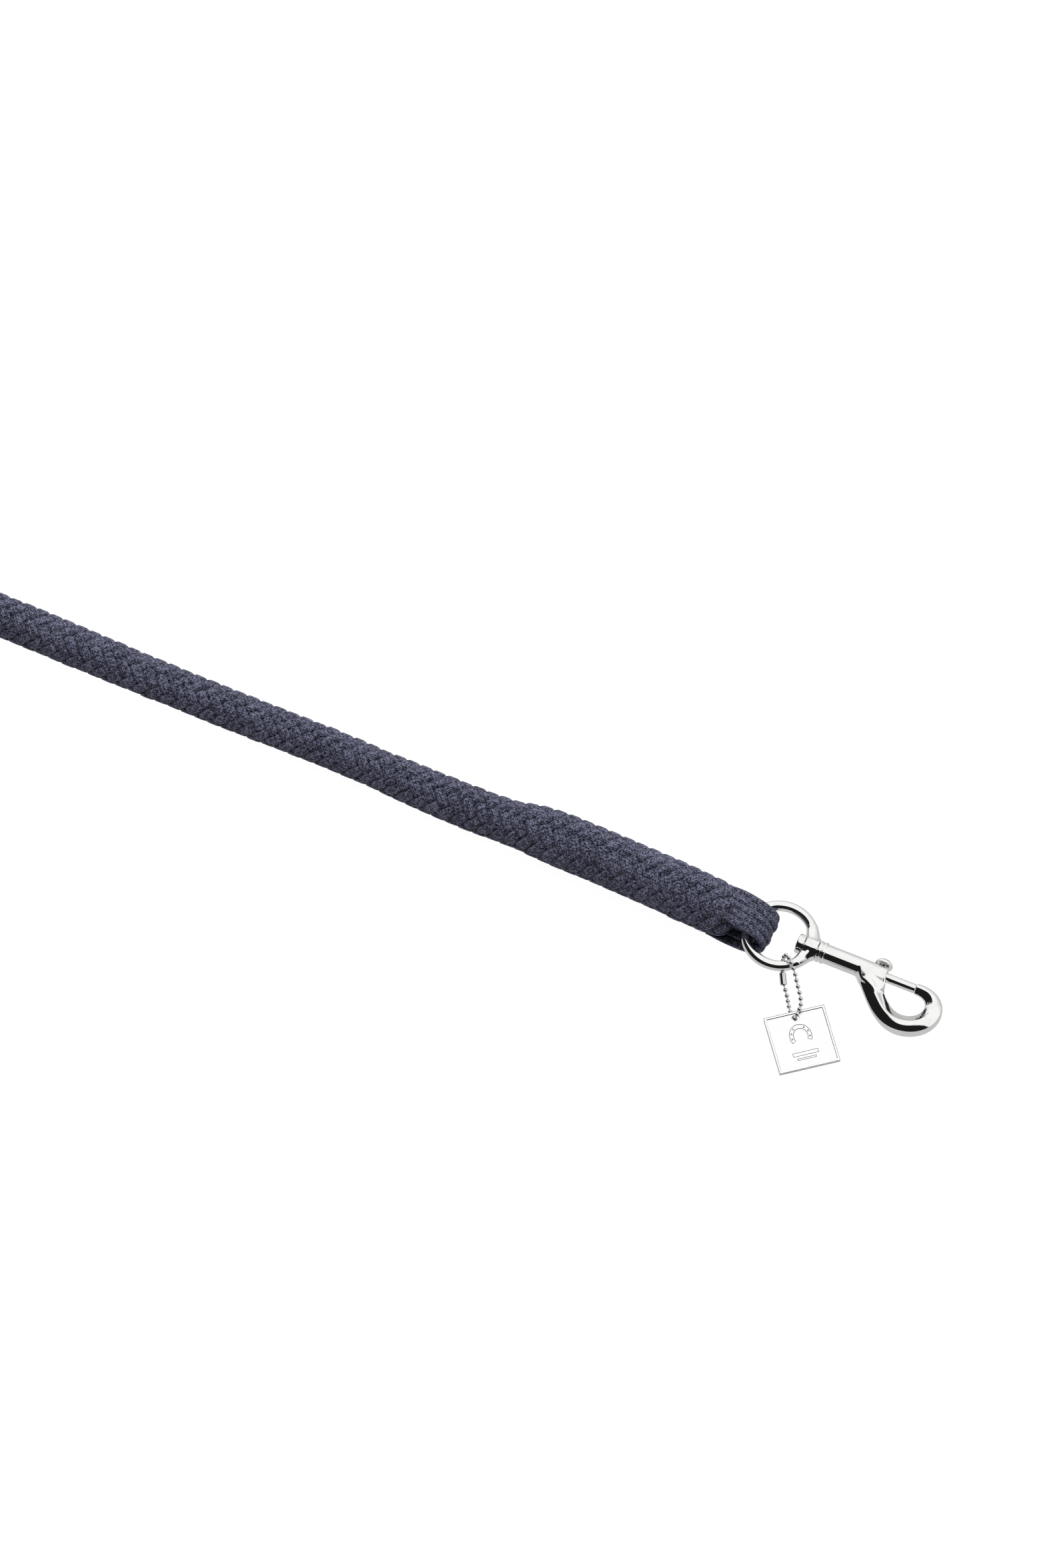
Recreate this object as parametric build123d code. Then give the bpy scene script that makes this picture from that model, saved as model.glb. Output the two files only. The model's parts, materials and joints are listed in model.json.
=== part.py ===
"""Braided lead rope with a swivel bolt snap and a square tag on a ball chain.

Millimetres. The floor is Z = 0 and the rope lies on it. +X runs from the rope along the snap to
the tip of its hook, +Z is up, and the origin is on the floor under the middle of the snap, chain
and tag. The snap is drawn in its own frame, with the ring's centre at the origin, the swivel axis
along X and the ring flat in XY, and is then set down with its hook end on the floor.
"""

from build123d import *
import math
import os

# ------------------------------------------------------------------ driving sizes
ROPE_DIAMETER = 20.0
SPLICE_DIAMETER = 27.8  # the rope with its own tail inside it
SPLICE_BORE = 17.2
TAIL_CLEARANCE = 0.1
TAIL_POINT = 14.0  # the tail is cut to a taper this long
SPLICE_FILLET = 12.0  # rounding of the rope's turned-back end
RUN_INSIDE = 1.0  # the plain rope starts this far before the splice's shoulder ends, and is cut there

EYE_WIDTH = 22.0  # the rope's loop over the ring
EYE_HEIGHT = 23.0
EYE_NOSE = 13.2  # from the ring's wire to the front of the loop
EYE_BACK = 19.0  # from the ring's wire back into the splice
EYE_CLEARANCE = 0.35
EYE_EDGE = 7.0  # rounding of the loop's long edges

COIL_GAP = 2.0  # between the rope's turns, which lie side by side
COIL_DRAW_IN = 9.0  # how far the last turn comes inwards of its pitch
COIL_OUTER_TURN = 125.0  # radius of the outer turn's centreline
COIL_TURNS = 2
COIL_CENTRE = (-590.0, -76.0)
COIL_EDGE = 8.5
END_LENGTH = 75.0  # the thick end of the rope

RING_RADIUS = 17.6  # centreline of the ring's wire
RING_WIRE = 5.5
BOSS_DIAMETER = 11.6
BOSS_LENGTH = 7.3
GUSSET_ANGLE = 38.0  # where the boss's shoulders run out into the wire
AXIAL_PLAY = 0.3
TURN_CLEARANCE = 0.06

RIVET_HEAD_DIAMETER = 10.6
RIVET_HEAD_HEIGHT = 3.8
RIVET_HEAD_CHAMFER = 0.7
RIVET_SHANK = 5.0
RIVET_SEAT = 6.4  # length pressed into the barrel

BARREL_DIAMETER = 10.2
BARREL_LENGTH = 37.6
COLLAR_DIAMETER = 11.4
COLLAR_WIDTH = 1.5
COLLAR_GAP = 0.9
BOLT_DIAMETER = 5.0
BOLT_CLEARANCE = 0.08
BOLT_TRAVEL = 14.0
BOLT_TAIL = 6.0  # the bolt behind its thumb knob
BOLT_CHAMFER = 0.4
KNOB_SETBACK = 3.4  # the knob's stem behind the barrel's mouth, closed
KNOB_STEM = 3.0
KNOB_DIAMETER = 9.4
KNOB_RIM = 1.3
KNOB_CROWN = 2.7
KNOB_GAP = 0.4
SLOT_CLEARANCE = 0.25
SPRING_WIRE = 0.6
SPRING_TURNS = 9

HOOK_GAP = 16.9  # from the barrel's mouth to the face of the hook's tip
TIP_GAP = 0.3
TIP_SEAT_LENGTH = 2.0

CHAIN_BEAD = 2.4
CHAIN_BEAD_BORE = 0.8
CHAIN_WIRE = 0.6
CHAIN_GRIP = 0.6  # the wire inside each ball
CHAIN_PITCH = 3.2
CONNECTOR_DIAMETER = 3.6
CONNECTOR_WALL = 0.2
CONNECTOR_LENGTH = 6.0
CHAIN_ANGLE = -60.0  # where the chain hangs on the ring, from the swivel axis

TAG_SIDE = 32.5
TAG_THICKNESS = 1.8
TAG_RIM = 1.1
TAG_RECESS = 0.5
TAG_CORNER = 0.7
TAG_HOLE = 4.2
TAG_HOLE_INSET = 3.9
TAG_HEADING = 37.3  # the tag's top edge, turned from X
TAG_DROP = 0.12  # its middle plane, below the ball in its hole

RING_CENTRE = (-36.8, 25.4)
WIRE_HEIGHT = 11.5  # the ring's wire where it runs through the rope's loop
HOOK_HEIGHT = 5.6  # the middle of the hook, with its belly on the floor
HOOK_MIDDLE = 18.8  # the middle of the hook, beyond the barrel's mouth

# ------------------------------------------------------------------ worked out
rope_r = ROPE_DIAMETER / 2
splice_r = SPLICE_DIAMETER / 2
wire_r = RING_WIRE / 2
bolt_r = BOLT_DIAMETER / 2
barrel_r = BARREL_DIAMETER / 2
bore_r = bolt_r + BOLT_CLEARANCE
shank_r = RIVET_SHANK / 2

boss_start = RING_RADIUS - BOSS_LENGTH / 2 + 0.05
boss_end = boss_start + BOSS_LENGTH
barrel_start = boss_end + AXIAL_PLAY
barrel_end = barrel_start + BARREL_LENGTH
seat_end = barrel_start + RIVET_SEAT
knob_x = barrel_end - KNOB_SETBACK
bolt_start = knob_x - BOLT_TAIL
tip_face = barrel_end + HOOK_GAP
bolt_end = tip_face - TIP_GAP

hook_reach = RING_RADIUS + barrel_end + HOOK_MIDDLE
tilt = math.degrees(math.asin((WIRE_HEIGHT - HOOK_HEIGHT) / hook_reach))
ring_height = WIRE_HEIGHT - RING_RADIUS * math.sin(math.radians(tilt))
snap_place = Pos(RING_CENTRE[0], RING_CENTRE[1], ring_height) * Rot(0, tilt, 0)
pivot_x = RING_CENTRE[0] - RING_RADIUS * math.cos(math.radians(tilt))

# The splice's centreline, and the rest of the rope as far as its coil.
SPLICE_ROUTE = [(-70.0, 26.2, splice_r), (-118.0, 30.8, splice_r), (-176.0, 34.0, splice_r)]
ROPE_ROUTE = [
    (-192.0, 34.4, rope_r),
    (-234.0, 35.4, rope_r),
    (-288.0, 40.2, rope_r),
    (-350.0, 42.2, rope_r),
    (-420.0, 46.0, rope_r),
    (-490.0, 50.2, rope_r),
    (-556.0, 50.8, rope_r),
]

# The hook's bar, from inside the barrel round to its tip: the middle of each section beyond the
# barrel's mouth and across, its width in the hook's plane and its thickness across it.
HOOK_SECTIONS = [
    ((-11.7, -1.5), 9.0, 8.0),
    ((-2.6, -10.9), 10.4, 9.0),
    ((4.6, -18.2), 10.2, 9.8),
    ((13.4, -22.4), 10.6, 10.4),
    ((22.2, -21.0), 10.8, 10.4),
    ((28.4, -15.4), 10.6, 9.8),
    ((29.7, -8.0), 9.6, 8.6),
    ((26.0, -2.2), 7.6, 7.0),
    ((HOOK_GAP + TIP_SEAT_LENGTH, 0.0), 6.0, 6.0),
]


def along_x(radius, start, end):
    """A cylinder on the swivel axis from one X to another."""
    return Pos(start, 0, 0) * Rot(0, 90, 0) * Cylinder(
        radius, end - start, align=(Align.CENTER, Align.CENTER, Align.MIN)
    )


def corner_radii(points):
    """The radius of each corner's arc: 0.45 of the shorter run over the tangent of half the turn."""
    radii = []
    for before, here, after in zip(points, points[1:], points[2:]):
        run_in = Vector(*here) - Vector(*before)
        run_out = Vector(*after) - Vector(*here)
        half_turn = math.radians(run_in.get_angle(run_out)) / 2
        radii.append(0.45 * min(run_in.length, run_out.length) / math.tan(half_turn))
    return radii


def tube(points, radius):
    """A round tube along straight runs joined by tangent arcs."""
    radii = corner_radii(points)
    print("radii", [round(r) for r in radii])
    path = FilletPolyline(*points, radius=radii) if radii else Line(*points)
    start = Plane(path @ 0, z_dir=path % 0)
    solid = sweep(start * Circle(radius), path=path)
    print("volume / section x length", round(solid.volume / (math.pi * radius**2 * path.length), 4))
    return solid, path


def oblique_cone(point_a, radius_a, point_b, radius_b, direction):
    """A straight loft between two parallel circles."""
    return loft(
        [
            Plane(point_a, z_dir=direction) * Circle(radius_a),
            Plane(point_b, z_dir=direction) * Circle(radius_b),
        ]
    )


# ------------------------------------------------------------------ the rope
def build_coil():
    """The outer shape of the flat coil's turns."""
    outer = COIL_OUTER_TURN + rope_r
    inner = outer - COIL_TURNS * (ROPE_DIAMETER + COIL_GAP) - rope_r - COIL_DRAW_IN
    ring = Pos(0, 0, rope_r) * (Cylinder(outer, ROPE_DIAMETER) - Cylinder(inner, ROPE_DIAMETER))
    ring = fillet(ring.edges(), COIL_EDGE)
    return Pos(COIL_CENTRE[0], COIL_CENTRE[1], 0) * ring, inner


def build_end(coil_inner):
    """The thick turned-back end, curved along the inside of the coil."""
    bend = coil_inner - splice_r - 0.2
    sweep_angle = math.degrees(END_LENGTH / bend)
    path = CenterArc((0, 0, splice_r), bend, 180, sweep_angle)
    end = sweep(Plane(path @ 0, z_dir=path % 0) * Circle(splice_r), path=path)
    end = fillet(end.edges().filter_by(GeomType.CIRCLE), SPLICE_FILLET)
    return Pos(COIL_CENTRE[0], COIL_CENTRE[1], 0) * end


def build_splice():
    """The hollow thick stretch with its shoulder, and the tail inside it."""
    shell, path = tube(SPLICE_ROUTE, splice_r)
    shoulder = oblique_cone(SPLICE_ROUTE[-1], splice_r, ROPE_ROUTE[0], rope_r, path % 1)
    bore, _ = tube(SPLICE_ROUTE, SPLICE_BORE / 2)
    tail_r = SPLICE_BORE / 2 - TAIL_CLEARANCE
    tail, _ = tube(SPLICE_ROUTE, tail_r)
    point_start = path @ 1 - (path % 1) * TAIL_POINT
    blunt = Plane(point_start, z_dir=path % 1)
    keep = blunt * Pos(0, 0, -200) * Box(400, 400, 400)
    taper = oblique_cone(point_start, tail_r, path @ 1 - (path % 1) * 0.5, tail_r * 0.45, path % 1)
    return shell + shoulder - bore, (tail & keep) + taper


def beyond(point, direction):
    """The half of space past a point, in a direction."""
    return Plane(point, z_dir=direction) * Pos(0, 0, 150) * Box(300, 300, 300)


def build_rope_run(coil):
    """The plain rope from the splice's shoulder to the coil, cut to meet both."""
    start, after = Vector(*ROPE_ROUTE[0]), Vector(*ROPE_ROUTE[1])
    inside = start + (start - after).normalized() * RUN_INSIDE
    shoulder_face = beyond(start, Vector(*SPLICE_ROUTE[-2]) - Vector(*SPLICE_ROUTE[-1]))
    return tube([tuple(inside), *ROPE_ROUTE[1:]], rope_r)[0] - coil - shoulder_face


def build_rope_eye():
    """The loop over the ring: rounded, with a flared tunnel that the ring's wire swings in."""
    back = pivot_x - EYE_BACK
    nose = pivot_x + EYE_NOSE
    round_x = nose - EYE_HEIGHT / 2
    side = make_face(
        [
            Polyline((round_x, 0.2), (back, 0.2), (back, SPLICE_DIAMETER - 0.4), (round_x, EYE_HEIGHT + 0.2)),
            ThreePointArc(
                (round_x, EYE_HEIGHT + 0.2), (nose, EYE_HEIGHT / 2 + 0.2), (round_x, 0.2)
            ),
        ]
    )
    block = Pos(0, RING_CENTRE[1], 0) * extrude(Plane.XZ * side, EYE_WIDTH / 2, both=True)
    section = Plane((back - 1, RING_CENTRE[1], splice_r), x_dir=(0, 1, 0), z_dir=(1, 0, 0))
    rounded = section * RectangleRounded(EYE_WIDTH, SPLICE_DIAMETER - 0.4, EYE_EDGE)
    block &= extrude(rounded, EYE_BACK + EYE_NOSE + 2)
    clear = RING_RADIUS - wire_r - EYE_CLEARANCE
    reach = EYE_WIDTH / 2 + 0.8
    depth = RING_RADIUS - math.sqrt(clear**2 - reach**2)
    flare = make_face(
        [
            Polyline((depth, -reach), (0, -reach), (0, reach), (depth, reach)),
            ThreePointArc((depth, reach), (RING_RADIUS - clear, 0), (depth, -reach)),
        ]
    )
    tunnel = Pos(pivot_x, RING_CENTRE[1], WIRE_HEIGHT) * revolve(flare, Axis.Y)
    start, after = Vector(*SPLICE_ROUTE[0]), Vector(*SPLICE_ROUTE[1])
    return block - tunnel - beyond(start, after - start)


# ------------------------------------------------------------------ the snap, in its own frame
def build_swivel_eye():
    """The ring, its shouldered boss, the pocket for the rivet's head and the rivet's bore."""
    ring = Torus(RING_RADIUS, wire_r)
    boss = along_x(BOSS_DIAMETER / 2, boss_start, boss_end)
    eye = ring + boss
    for side in (1, -1):
        angle = math.radians(side * GUSSET_ANGLE)
        far = (RING_RADIUS * math.cos(angle), RING_RADIUS * math.sin(angle), 0)
        near = (RING_RADIUS, side * 2.6, 0)
        along = Vector(*far) - Vector(*near)
        tangent = Vector(math.sin(angle), -math.cos(angle), 0) * -side
        eye += loft(
            [Plane(near, z_dir=along) * Circle(wire_r * 1.75), Plane(far, z_dir=tangent) * Circle(wire_r)]
        )
    eye -= along_x(RIVET_HEAD_DIAMETER / 2 + 0.5, boss_start - 12, boss_start)
    eye -= along_x(barrel_r + 2, boss_end, boss_end + 6)
    return eye - along_x(shank_r + TURN_CLEARANCE, boss_start - 1, boss_end + 1)


def build_rivet():
    """Head inside the ring, shank through the boss, and the seat pressed into the barrel."""
    head_end = boss_start - AXIAL_PLAY
    head = along_x(RIVET_HEAD_DIAMETER / 2, head_end - RIVET_HEAD_HEIGHT, head_end)
    head = chamfer(head.edges().filter_by(GeomType.CIRCLE), RIVET_HEAD_CHAMFER)
    shank = along_x(shank_r, head_end - 1, barrel_start)
    return head + shank + along_x(bore_r, barrel_start, seat_end)


def build_hook_body():
    """Barrel with its collar, the hook's bar, the bolt's bore and the knob's slot."""
    body = along_x(barrel_r, barrel_start, barrel_end)
    for step in range(2):
        collar_x = barrel_start + step * (COLLAR_WIDTH + COLLAR_GAP)
        body += along_x(COLLAR_DIAMETER / 2, collar_x, collar_x + COLLAR_WIDTH)
    centres = [Vector(barrel_end + x, y, 0) for (x, y), _, _ in HOOK_SECTIONS]
    line = Spline(*centres, tangents=[(0.7, -0.7, 0), (-1, 0, 0)])
    sections = []
    for centre, (_, width, thickness) in zip(centres, HOOK_SECTIONS):
        heading = line.tangent_at(line.param_at_point(centre))
        plane = Plane(centre, x_dir=(0, 0, 1), z_dir=heading)
        sections.append(plane * Ellipse(thickness / 2, width / 2))
    bar = loft(sections)
    tip = along_x(HOOK_SECTIONS[-1][1] / 2, tip_face, tip_face + TIP_SEAT_LENGTH)
    body += bar + tip
    body -= along_x(bore_r, barrel_start - 1, barrel_end + 0.01)
    body -= along_x(bolt_r + TIP_GAP, barrel_end, tip_face)
    slot_half = KNOB_STEM / 2 + SLOT_CLEARANCE
    slot_start = knob_x - BOLT_TRAVEL
    slot_y = barrel_r + 2
    slot = Pos((slot_start + knob_x) / 2, slot_y / 2, 0) * Box(BOLT_TRAVEL, slot_y, 2 * slot_half)
    for x in (slot_start, knob_x):
        slot += Pos(x, slot_y / 2, 0) * Rot(90, 0, 0) * Cylinder(slot_half, slot_y)
    return body - slot


def build_bolt():
    """The sliding pin with the hole that its knob is pressed into."""
    pin = along_x(bolt_r, bolt_start, bolt_end)
    pin = chamfer(pin.edges().filter_by(GeomType.CIRCLE), BOLT_CHAMFER)
    return pin - Pos(knob_x, 0, 0) * Rot(90, 0, 0) * Cylinder(KNOB_STEM / 2, BOLT_DIAMETER * 2)


def build_knob():
    """Domed thumb piece on a stem through the bolt."""
    base = barrel_r + KNOB_GAP
    rim_top = base + KNOB_RIM
    cap_radius = (KNOB_DIAMETER**2 / 4 + KNOB_CROWN**2) / (2 * KNOB_CROWN)
    profile = make_face(
        [
            Polyline(
                (0, rim_top + KNOB_CROWN),
                (0, -bolt_r + 0.5),
                (KNOB_STEM / 2, -bolt_r + 0.5),
                (KNOB_STEM / 2, base),
                (KNOB_DIAMETER / 2, base),
                (KNOB_DIAMETER / 2, rim_top),
            ),
            RadiusArc((KNOB_DIAMETER / 2, rim_top), (0, rim_top + KNOB_CROWN), -cap_radius),
        ]
    )
    return Pos(knob_x, 0, 0) * revolve(profile, Axis.Y)


def build_spring():
    """The closed bolt's spring, between the rivet's seat and the bolt."""
    length = bolt_start - seat_end - SPRING_WIRE - 0.2
    radius = bore_r - SPRING_WIRE / 2 - 0.08
    coil = Helix(length / SPRING_TURNS, length, radius)
    wire = sweep(Plane(coil @ 0, z_dir=coil % 0) * Circle(SPRING_WIRE / 2), path=coil, is_frenet=True)
    return Pos(seat_end + SPRING_WIRE / 2 + 0.1, 0, 0) * Rot(0, 90, 0) * wire


# ------------------------------------------------------------------ chain and tag
hang = math.radians(CHAIN_ANGLE)
outward = Vector(math.cos(hang), math.sin(hang), 0)
across = Vector(-math.sin(hang), math.cos(hang), 0)
wire_point = (snap_place * Pos(outward * RING_RADIUS)).position

# Round the ring's wire and through the tag's hole: outward from the wire, across, and up from it.
CHAIN_ROUTE = [
    (-4.9, 0.4, 0.4),
    (-2.6, -0.6, -4.9),
    (2.9, -1.2, -5.5),
    (7.2, -1.2, -7.1),
    (12.0, -0.6, -8.3),
    (18.0, -0.4, -8.4),
    (23.5, 0.0, -8.4),
    (27.4, 1.0, -7.9),
    (28.3, 1.9, -6.3),
    (27.2, 2.9, -4.0),
    (22.0, 5.4, -4.4),
    (16.0, 5.8, -3.4),
    (10.0, 5.0, -0.6),
    (5.0, 4.2, 3.4),
    (0.8, 3.0, 5.2),
    (-3.4, 1.8, 4.0),
]
CONNECTOR_AT = 0.165  # share of the chain's length, just outside the ring

HOLE = CHAIN_ROUTE[8]


def chain_point(offsets):
    """A place given from the ring's wire, as a point of the whole object."""
    return wire_point + outward * offsets[0] + across * offsets[1] + Vector(0, 0, offsets[2])


def build_chain():
    """Bored balls at an even pitch round a closed line, the wires between them, and the sleeve."""
    line = Spline(*[chain_point(p) for p in CHAIN_ROUTE], periodic=True)
    count = round(line.length / CHAIN_PITCH)
    places = [line.position_at(i / count) for i in range(count)]
    gaps = [places[(i + 1) % count] - place for i, place in enumerate(places)]
    wire_end = CHAIN_BEAD / 2 - CHAIN_GRIP
    balls, wires = [], []
    for place, gap, gap_before in zip(places, gaps, gaps[-1:] + gaps[:-1]):
        ball = Pos(place) * Sphere(CHAIN_BEAD / 2)
        for towards in (gap, gap_before * -1):
            hole = Cylinder(CHAIN_BEAD_BORE / 2, CHAIN_BEAD, align=(Align.CENTER, Align.CENTER, Align.MIN))
            ball -= Plane(place, z_dir=towards).location * hole
        balls.append(ball)
        middle = Plane(place + gap / 2, z_dir=gap)
        wires.append(middle.location * Cylinder(CHAIN_WIRE / 2, gap.length - 2 * wire_end))
    seat = Plane(line.position_at(CONNECTOR_AT), z_dir=line.tangent_at(CONNECTOR_AT))
    sleeve_r = CONNECTOR_DIAMETER / 2
    sleeve = Cylinder(sleeve_r, CONNECTOR_LENGTH) - Cylinder(sleeve_r - CONNECTOR_WALL, CONNECTOR_LENGTH)
    print("chain", round(line.length, 1), "mm", count, "balls")
    return Compound(children=balls), Compound(children=wires), seat.location * sleeve


def build_tag():
    """The square plate with its raised rim and hole, leaning on the chain."""
    plate = extrude(RectangleRounded(TAG_SIDE, TAG_SIDE, TAG_CORNER), TAG_THICKNESS / 2, both=True)
    inside = TAG_SIDE - 2 * TAG_RIM
    field = Pos(0, 0, TAG_THICKNESS / 2 - TAG_RECESS) * extrude(
        RectangleRounded(inside, inside, TAG_CORNER), TAG_RECESS * 2
    )
    hole_y = TAG_SIDE / 2 - TAG_HOLE_INSET
    plate = plate - field - Pos(0, hole_y, 0) * Cylinder(TAG_HOLE / 2, TAG_THICKNESS * 2)
    return tag_place() * Pos(0, -hole_y, 0) * plate


def tag_place():
    """Where the tag's hole is, with the plate's Y axis up its face and its bottom edge on the floor."""
    hole = chain_point(HOLE)
    height = hole.Z - TAG_DROP
    below = TAG_SIDE - TAG_HOLE_INSET
    half = TAG_THICKNESS / 2
    lean = math.degrees(math.asin(height / math.hypot(below, half)) - math.atan2(half, below))
    return Pos(hole.X, hole.Y, height) * Rot(0, 0, TAG_HEADING) * Rot(lean, 0, 0)


# ------------------------------------------------------------------ all pieces
coil, coil_inner = build_coil()
splice, splice_tail = build_splice()
beads, links, connector = build_chain()
pieces = {
    "rope_run": build_rope_run(coil),
    "rope_coil": coil,
    "rope_end": build_end(coil_inner),
    "rope_splice": splice,
    "splice_tail": splice_tail,
    "rope_eye": build_rope_eye(),
    "swivel_eye": snap_place * build_swivel_eye(),
    "swivel_rivet": snap_place * build_rivet(),
    "hook_body": snap_place * build_hook_body(),
    "bolt": snap_place * build_bolt(),
    "thumb_knob": snap_place * build_knob(),
    "bolt_spring": snap_place * build_spring(),
    "chain_beads": beads,
    "chain_links": links,
    "chain_connector": connector,
    "tag_plate": build_tag(),
}

os.makedirs("parts", exist_ok=True)
for name, piece in pieces.items():
    export_step(piece, f"parts/{name}.step")
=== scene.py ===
"""Looks of a braided lead rope with a swivel bolt snap and a square tag on a ball chain.

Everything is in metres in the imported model's frame. The classes hold their sizes in millimetres
and meet the frame through MM. The snap is drawn in its own frame, with the ring's centre at the
origin and the swivel axis along X, which the swivel joint places.
"""

import json
import logging
import math
from collections.abc import Callable, Sequence
from dataclasses import dataclass
from enum import Enum

import bmesh
import bpy
import numpy as np
from mathutils import Matrix, Vector

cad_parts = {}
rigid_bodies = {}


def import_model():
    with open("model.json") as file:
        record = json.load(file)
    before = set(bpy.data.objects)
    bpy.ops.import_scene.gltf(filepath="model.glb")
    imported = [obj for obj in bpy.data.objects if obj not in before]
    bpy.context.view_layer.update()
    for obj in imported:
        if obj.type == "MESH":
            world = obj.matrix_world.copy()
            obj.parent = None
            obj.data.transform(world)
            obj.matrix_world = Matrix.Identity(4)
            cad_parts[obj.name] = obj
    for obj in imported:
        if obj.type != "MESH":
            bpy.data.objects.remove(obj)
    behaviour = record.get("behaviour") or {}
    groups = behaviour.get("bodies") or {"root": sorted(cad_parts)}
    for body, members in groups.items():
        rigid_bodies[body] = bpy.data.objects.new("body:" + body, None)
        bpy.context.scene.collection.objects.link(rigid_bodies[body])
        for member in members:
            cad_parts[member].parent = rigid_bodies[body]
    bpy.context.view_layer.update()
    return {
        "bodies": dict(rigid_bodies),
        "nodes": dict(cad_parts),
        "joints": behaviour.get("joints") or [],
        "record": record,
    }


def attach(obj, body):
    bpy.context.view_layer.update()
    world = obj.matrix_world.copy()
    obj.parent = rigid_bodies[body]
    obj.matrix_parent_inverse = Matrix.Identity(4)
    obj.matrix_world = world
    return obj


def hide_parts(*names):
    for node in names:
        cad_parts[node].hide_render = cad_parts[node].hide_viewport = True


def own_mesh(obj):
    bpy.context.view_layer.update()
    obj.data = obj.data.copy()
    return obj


log = logging.getLogger("lead_rope")

MM = 0.001
Field = Callable[[np.ndarray], np.ndarray]
Outline = list[tuple[float, float]]


# ------------------------------------------------------------------ node trees
class Value:
    """A node's output socket that can be used in plain arithmetic."""

    def __init__(self, graph: "Graph", socket: bpy.types.NodeSocket) -> None:
        """Keeps the socket and the graph that its Math nodes are added to.

        Args:
            graph: The graph that owns the socket.
            socket: The output socket.
        """
        self.graph = graph
        self.socket = socket

    def apply(self, operation: str, *others: "Value | float") -> "Value":
        """Adds one Math node with this value first.

        Args:
            operation: The Math node's operation.
            others: Its further operands.

        Returns:
            The node's result.
        """
        return self.graph.maths(operation, self, *others)

    def __add__(self, other: "Value | float") -> "Value":
        """Sum."""
        return self.apply("ADD", other)

    __radd__ = __add__

    def __mul__(self, other: "Value | float") -> "Value":
        """Product."""
        return self.apply("MULTIPLY", other)

    __rmul__ = __mul__

    def __sub__(self, other: "Value | float") -> "Value":
        """Difference."""
        return self.apply("SUBTRACT", other)

    def __rsub__(self, other: float) -> "Value":
        """Difference from a number."""
        return self.graph.maths("SUBTRACT", other, self)

    def __pow__(self, other: "Value | float") -> "Value":
        """Power."""
        return self.apply("POWER", other)

    def __abs__(self) -> "Value":
        """Absolute value."""
        return self.apply("ABSOLUTE")

    def fraction(self) -> "Value":
        """The part after the point."""
        return self.apply("FRACT")

    def between(self, low: float, high: float) -> "Value":
        """A smooth step from 0 at low to 1 at high.

        Args:
            low: Where the step starts.
            high: Where it ends.

        Returns:
            The step.
        """
        return self.graph.out(
            "ShaderNodeMapRange",
            {"interpolation_type": "SMOOTHSTEP"},
            {"Value": self, "From Min": low, "From Max": high},
        )


class Graph:
    """Adds nodes to a shader, world or geometry tree."""

    def __init__(self, tree: bpy.types.NodeTree) -> None:
        """Keeps the tree, emptied.

        Args:
            tree: The node tree to fill.
        """
        self.tree = tree
        tree.nodes.clear()

    def node(
        self,
        kind: str,
        settings: dict[str, object] | None = None,
        sockets: dict[str | int, object] | None = None,
    ) -> bpy.types.Node:
        """Adds any node.

        Args:
            kind: The node's type.
            settings: Its properties, set first.
            sockets: Values or links of its inputs, by name or number.

        Returns:
            The node.
        """
        made = self.tree.nodes.new(kind)
        for name, setting in (settings or {}).items():
            setattr(made, name, setting)
        for name, given in (sockets or {}).items():
            source = given.socket if isinstance(given, Value) else given
            if isinstance(source, bpy.types.NodeSocket):
                self.tree.links.new(source, made.inputs[name])
            else:
                made.inputs[name].default_value = source
        return made

    def out(
        self,
        kind: str,
        settings: dict[str, object] | None = None,
        sockets: dict[str | int, object] | None = None,
        output: str | int = 0,
    ) -> Value:
        """Adds any node and gives one of its outputs.

        Args:
            kind: The node's type.
            settings: Its properties.
            sockets: Values or links of its inputs.
            output: The output wanted, by name or number.

        Returns:
            That output.
        """
        return Value(self, self.node(kind, settings, sockets).outputs[output])

    def maths(self, operation: str, *operands: "Value | float") -> Value:
        """Adds a Math node.

        Args:
            operation: Its operation.
            operands: Its operands, in order.

        Returns:
            Its result.
        """
        return self.out("ShaderNodeMath", {"operation": operation}, dict(enumerate(operands)))

    def mix(self, share: "Value | float", low: object, high: object) -> Value:
        """Mixes two colours.

        Args:
            share: How much of the second.
            low: The first colour or its socket.
            high: The second colour or its socket.

        Returns:
            The mixed colour.
        """
        made = self.node("ShaderNodeMix", {"data_type": "RGBA"}, {0: share, 6: low, 7: high})
        return Value(self, made.outputs[2])

    def noise(self, place: Value, scale: float, detail: float = 2.0) -> Value:
        """Adds a noise texture.

        Args:
            place: Its coordinates.
            scale: Its scale, per metre on Object coordinates.
            detail: Its detail.

        Returns:
            Its value, from 0 to 1.
        """
        return self.out(
            "ShaderNodeTexNoise", None, {"Vector": place, "Scale": scale, "Detail": detail}
        )


Colour = tuple[float, float, float, float]


def grey(level: float) -> Colour:
    """A neutral colour."""
    return (level, level, level, 1.0)


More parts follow.
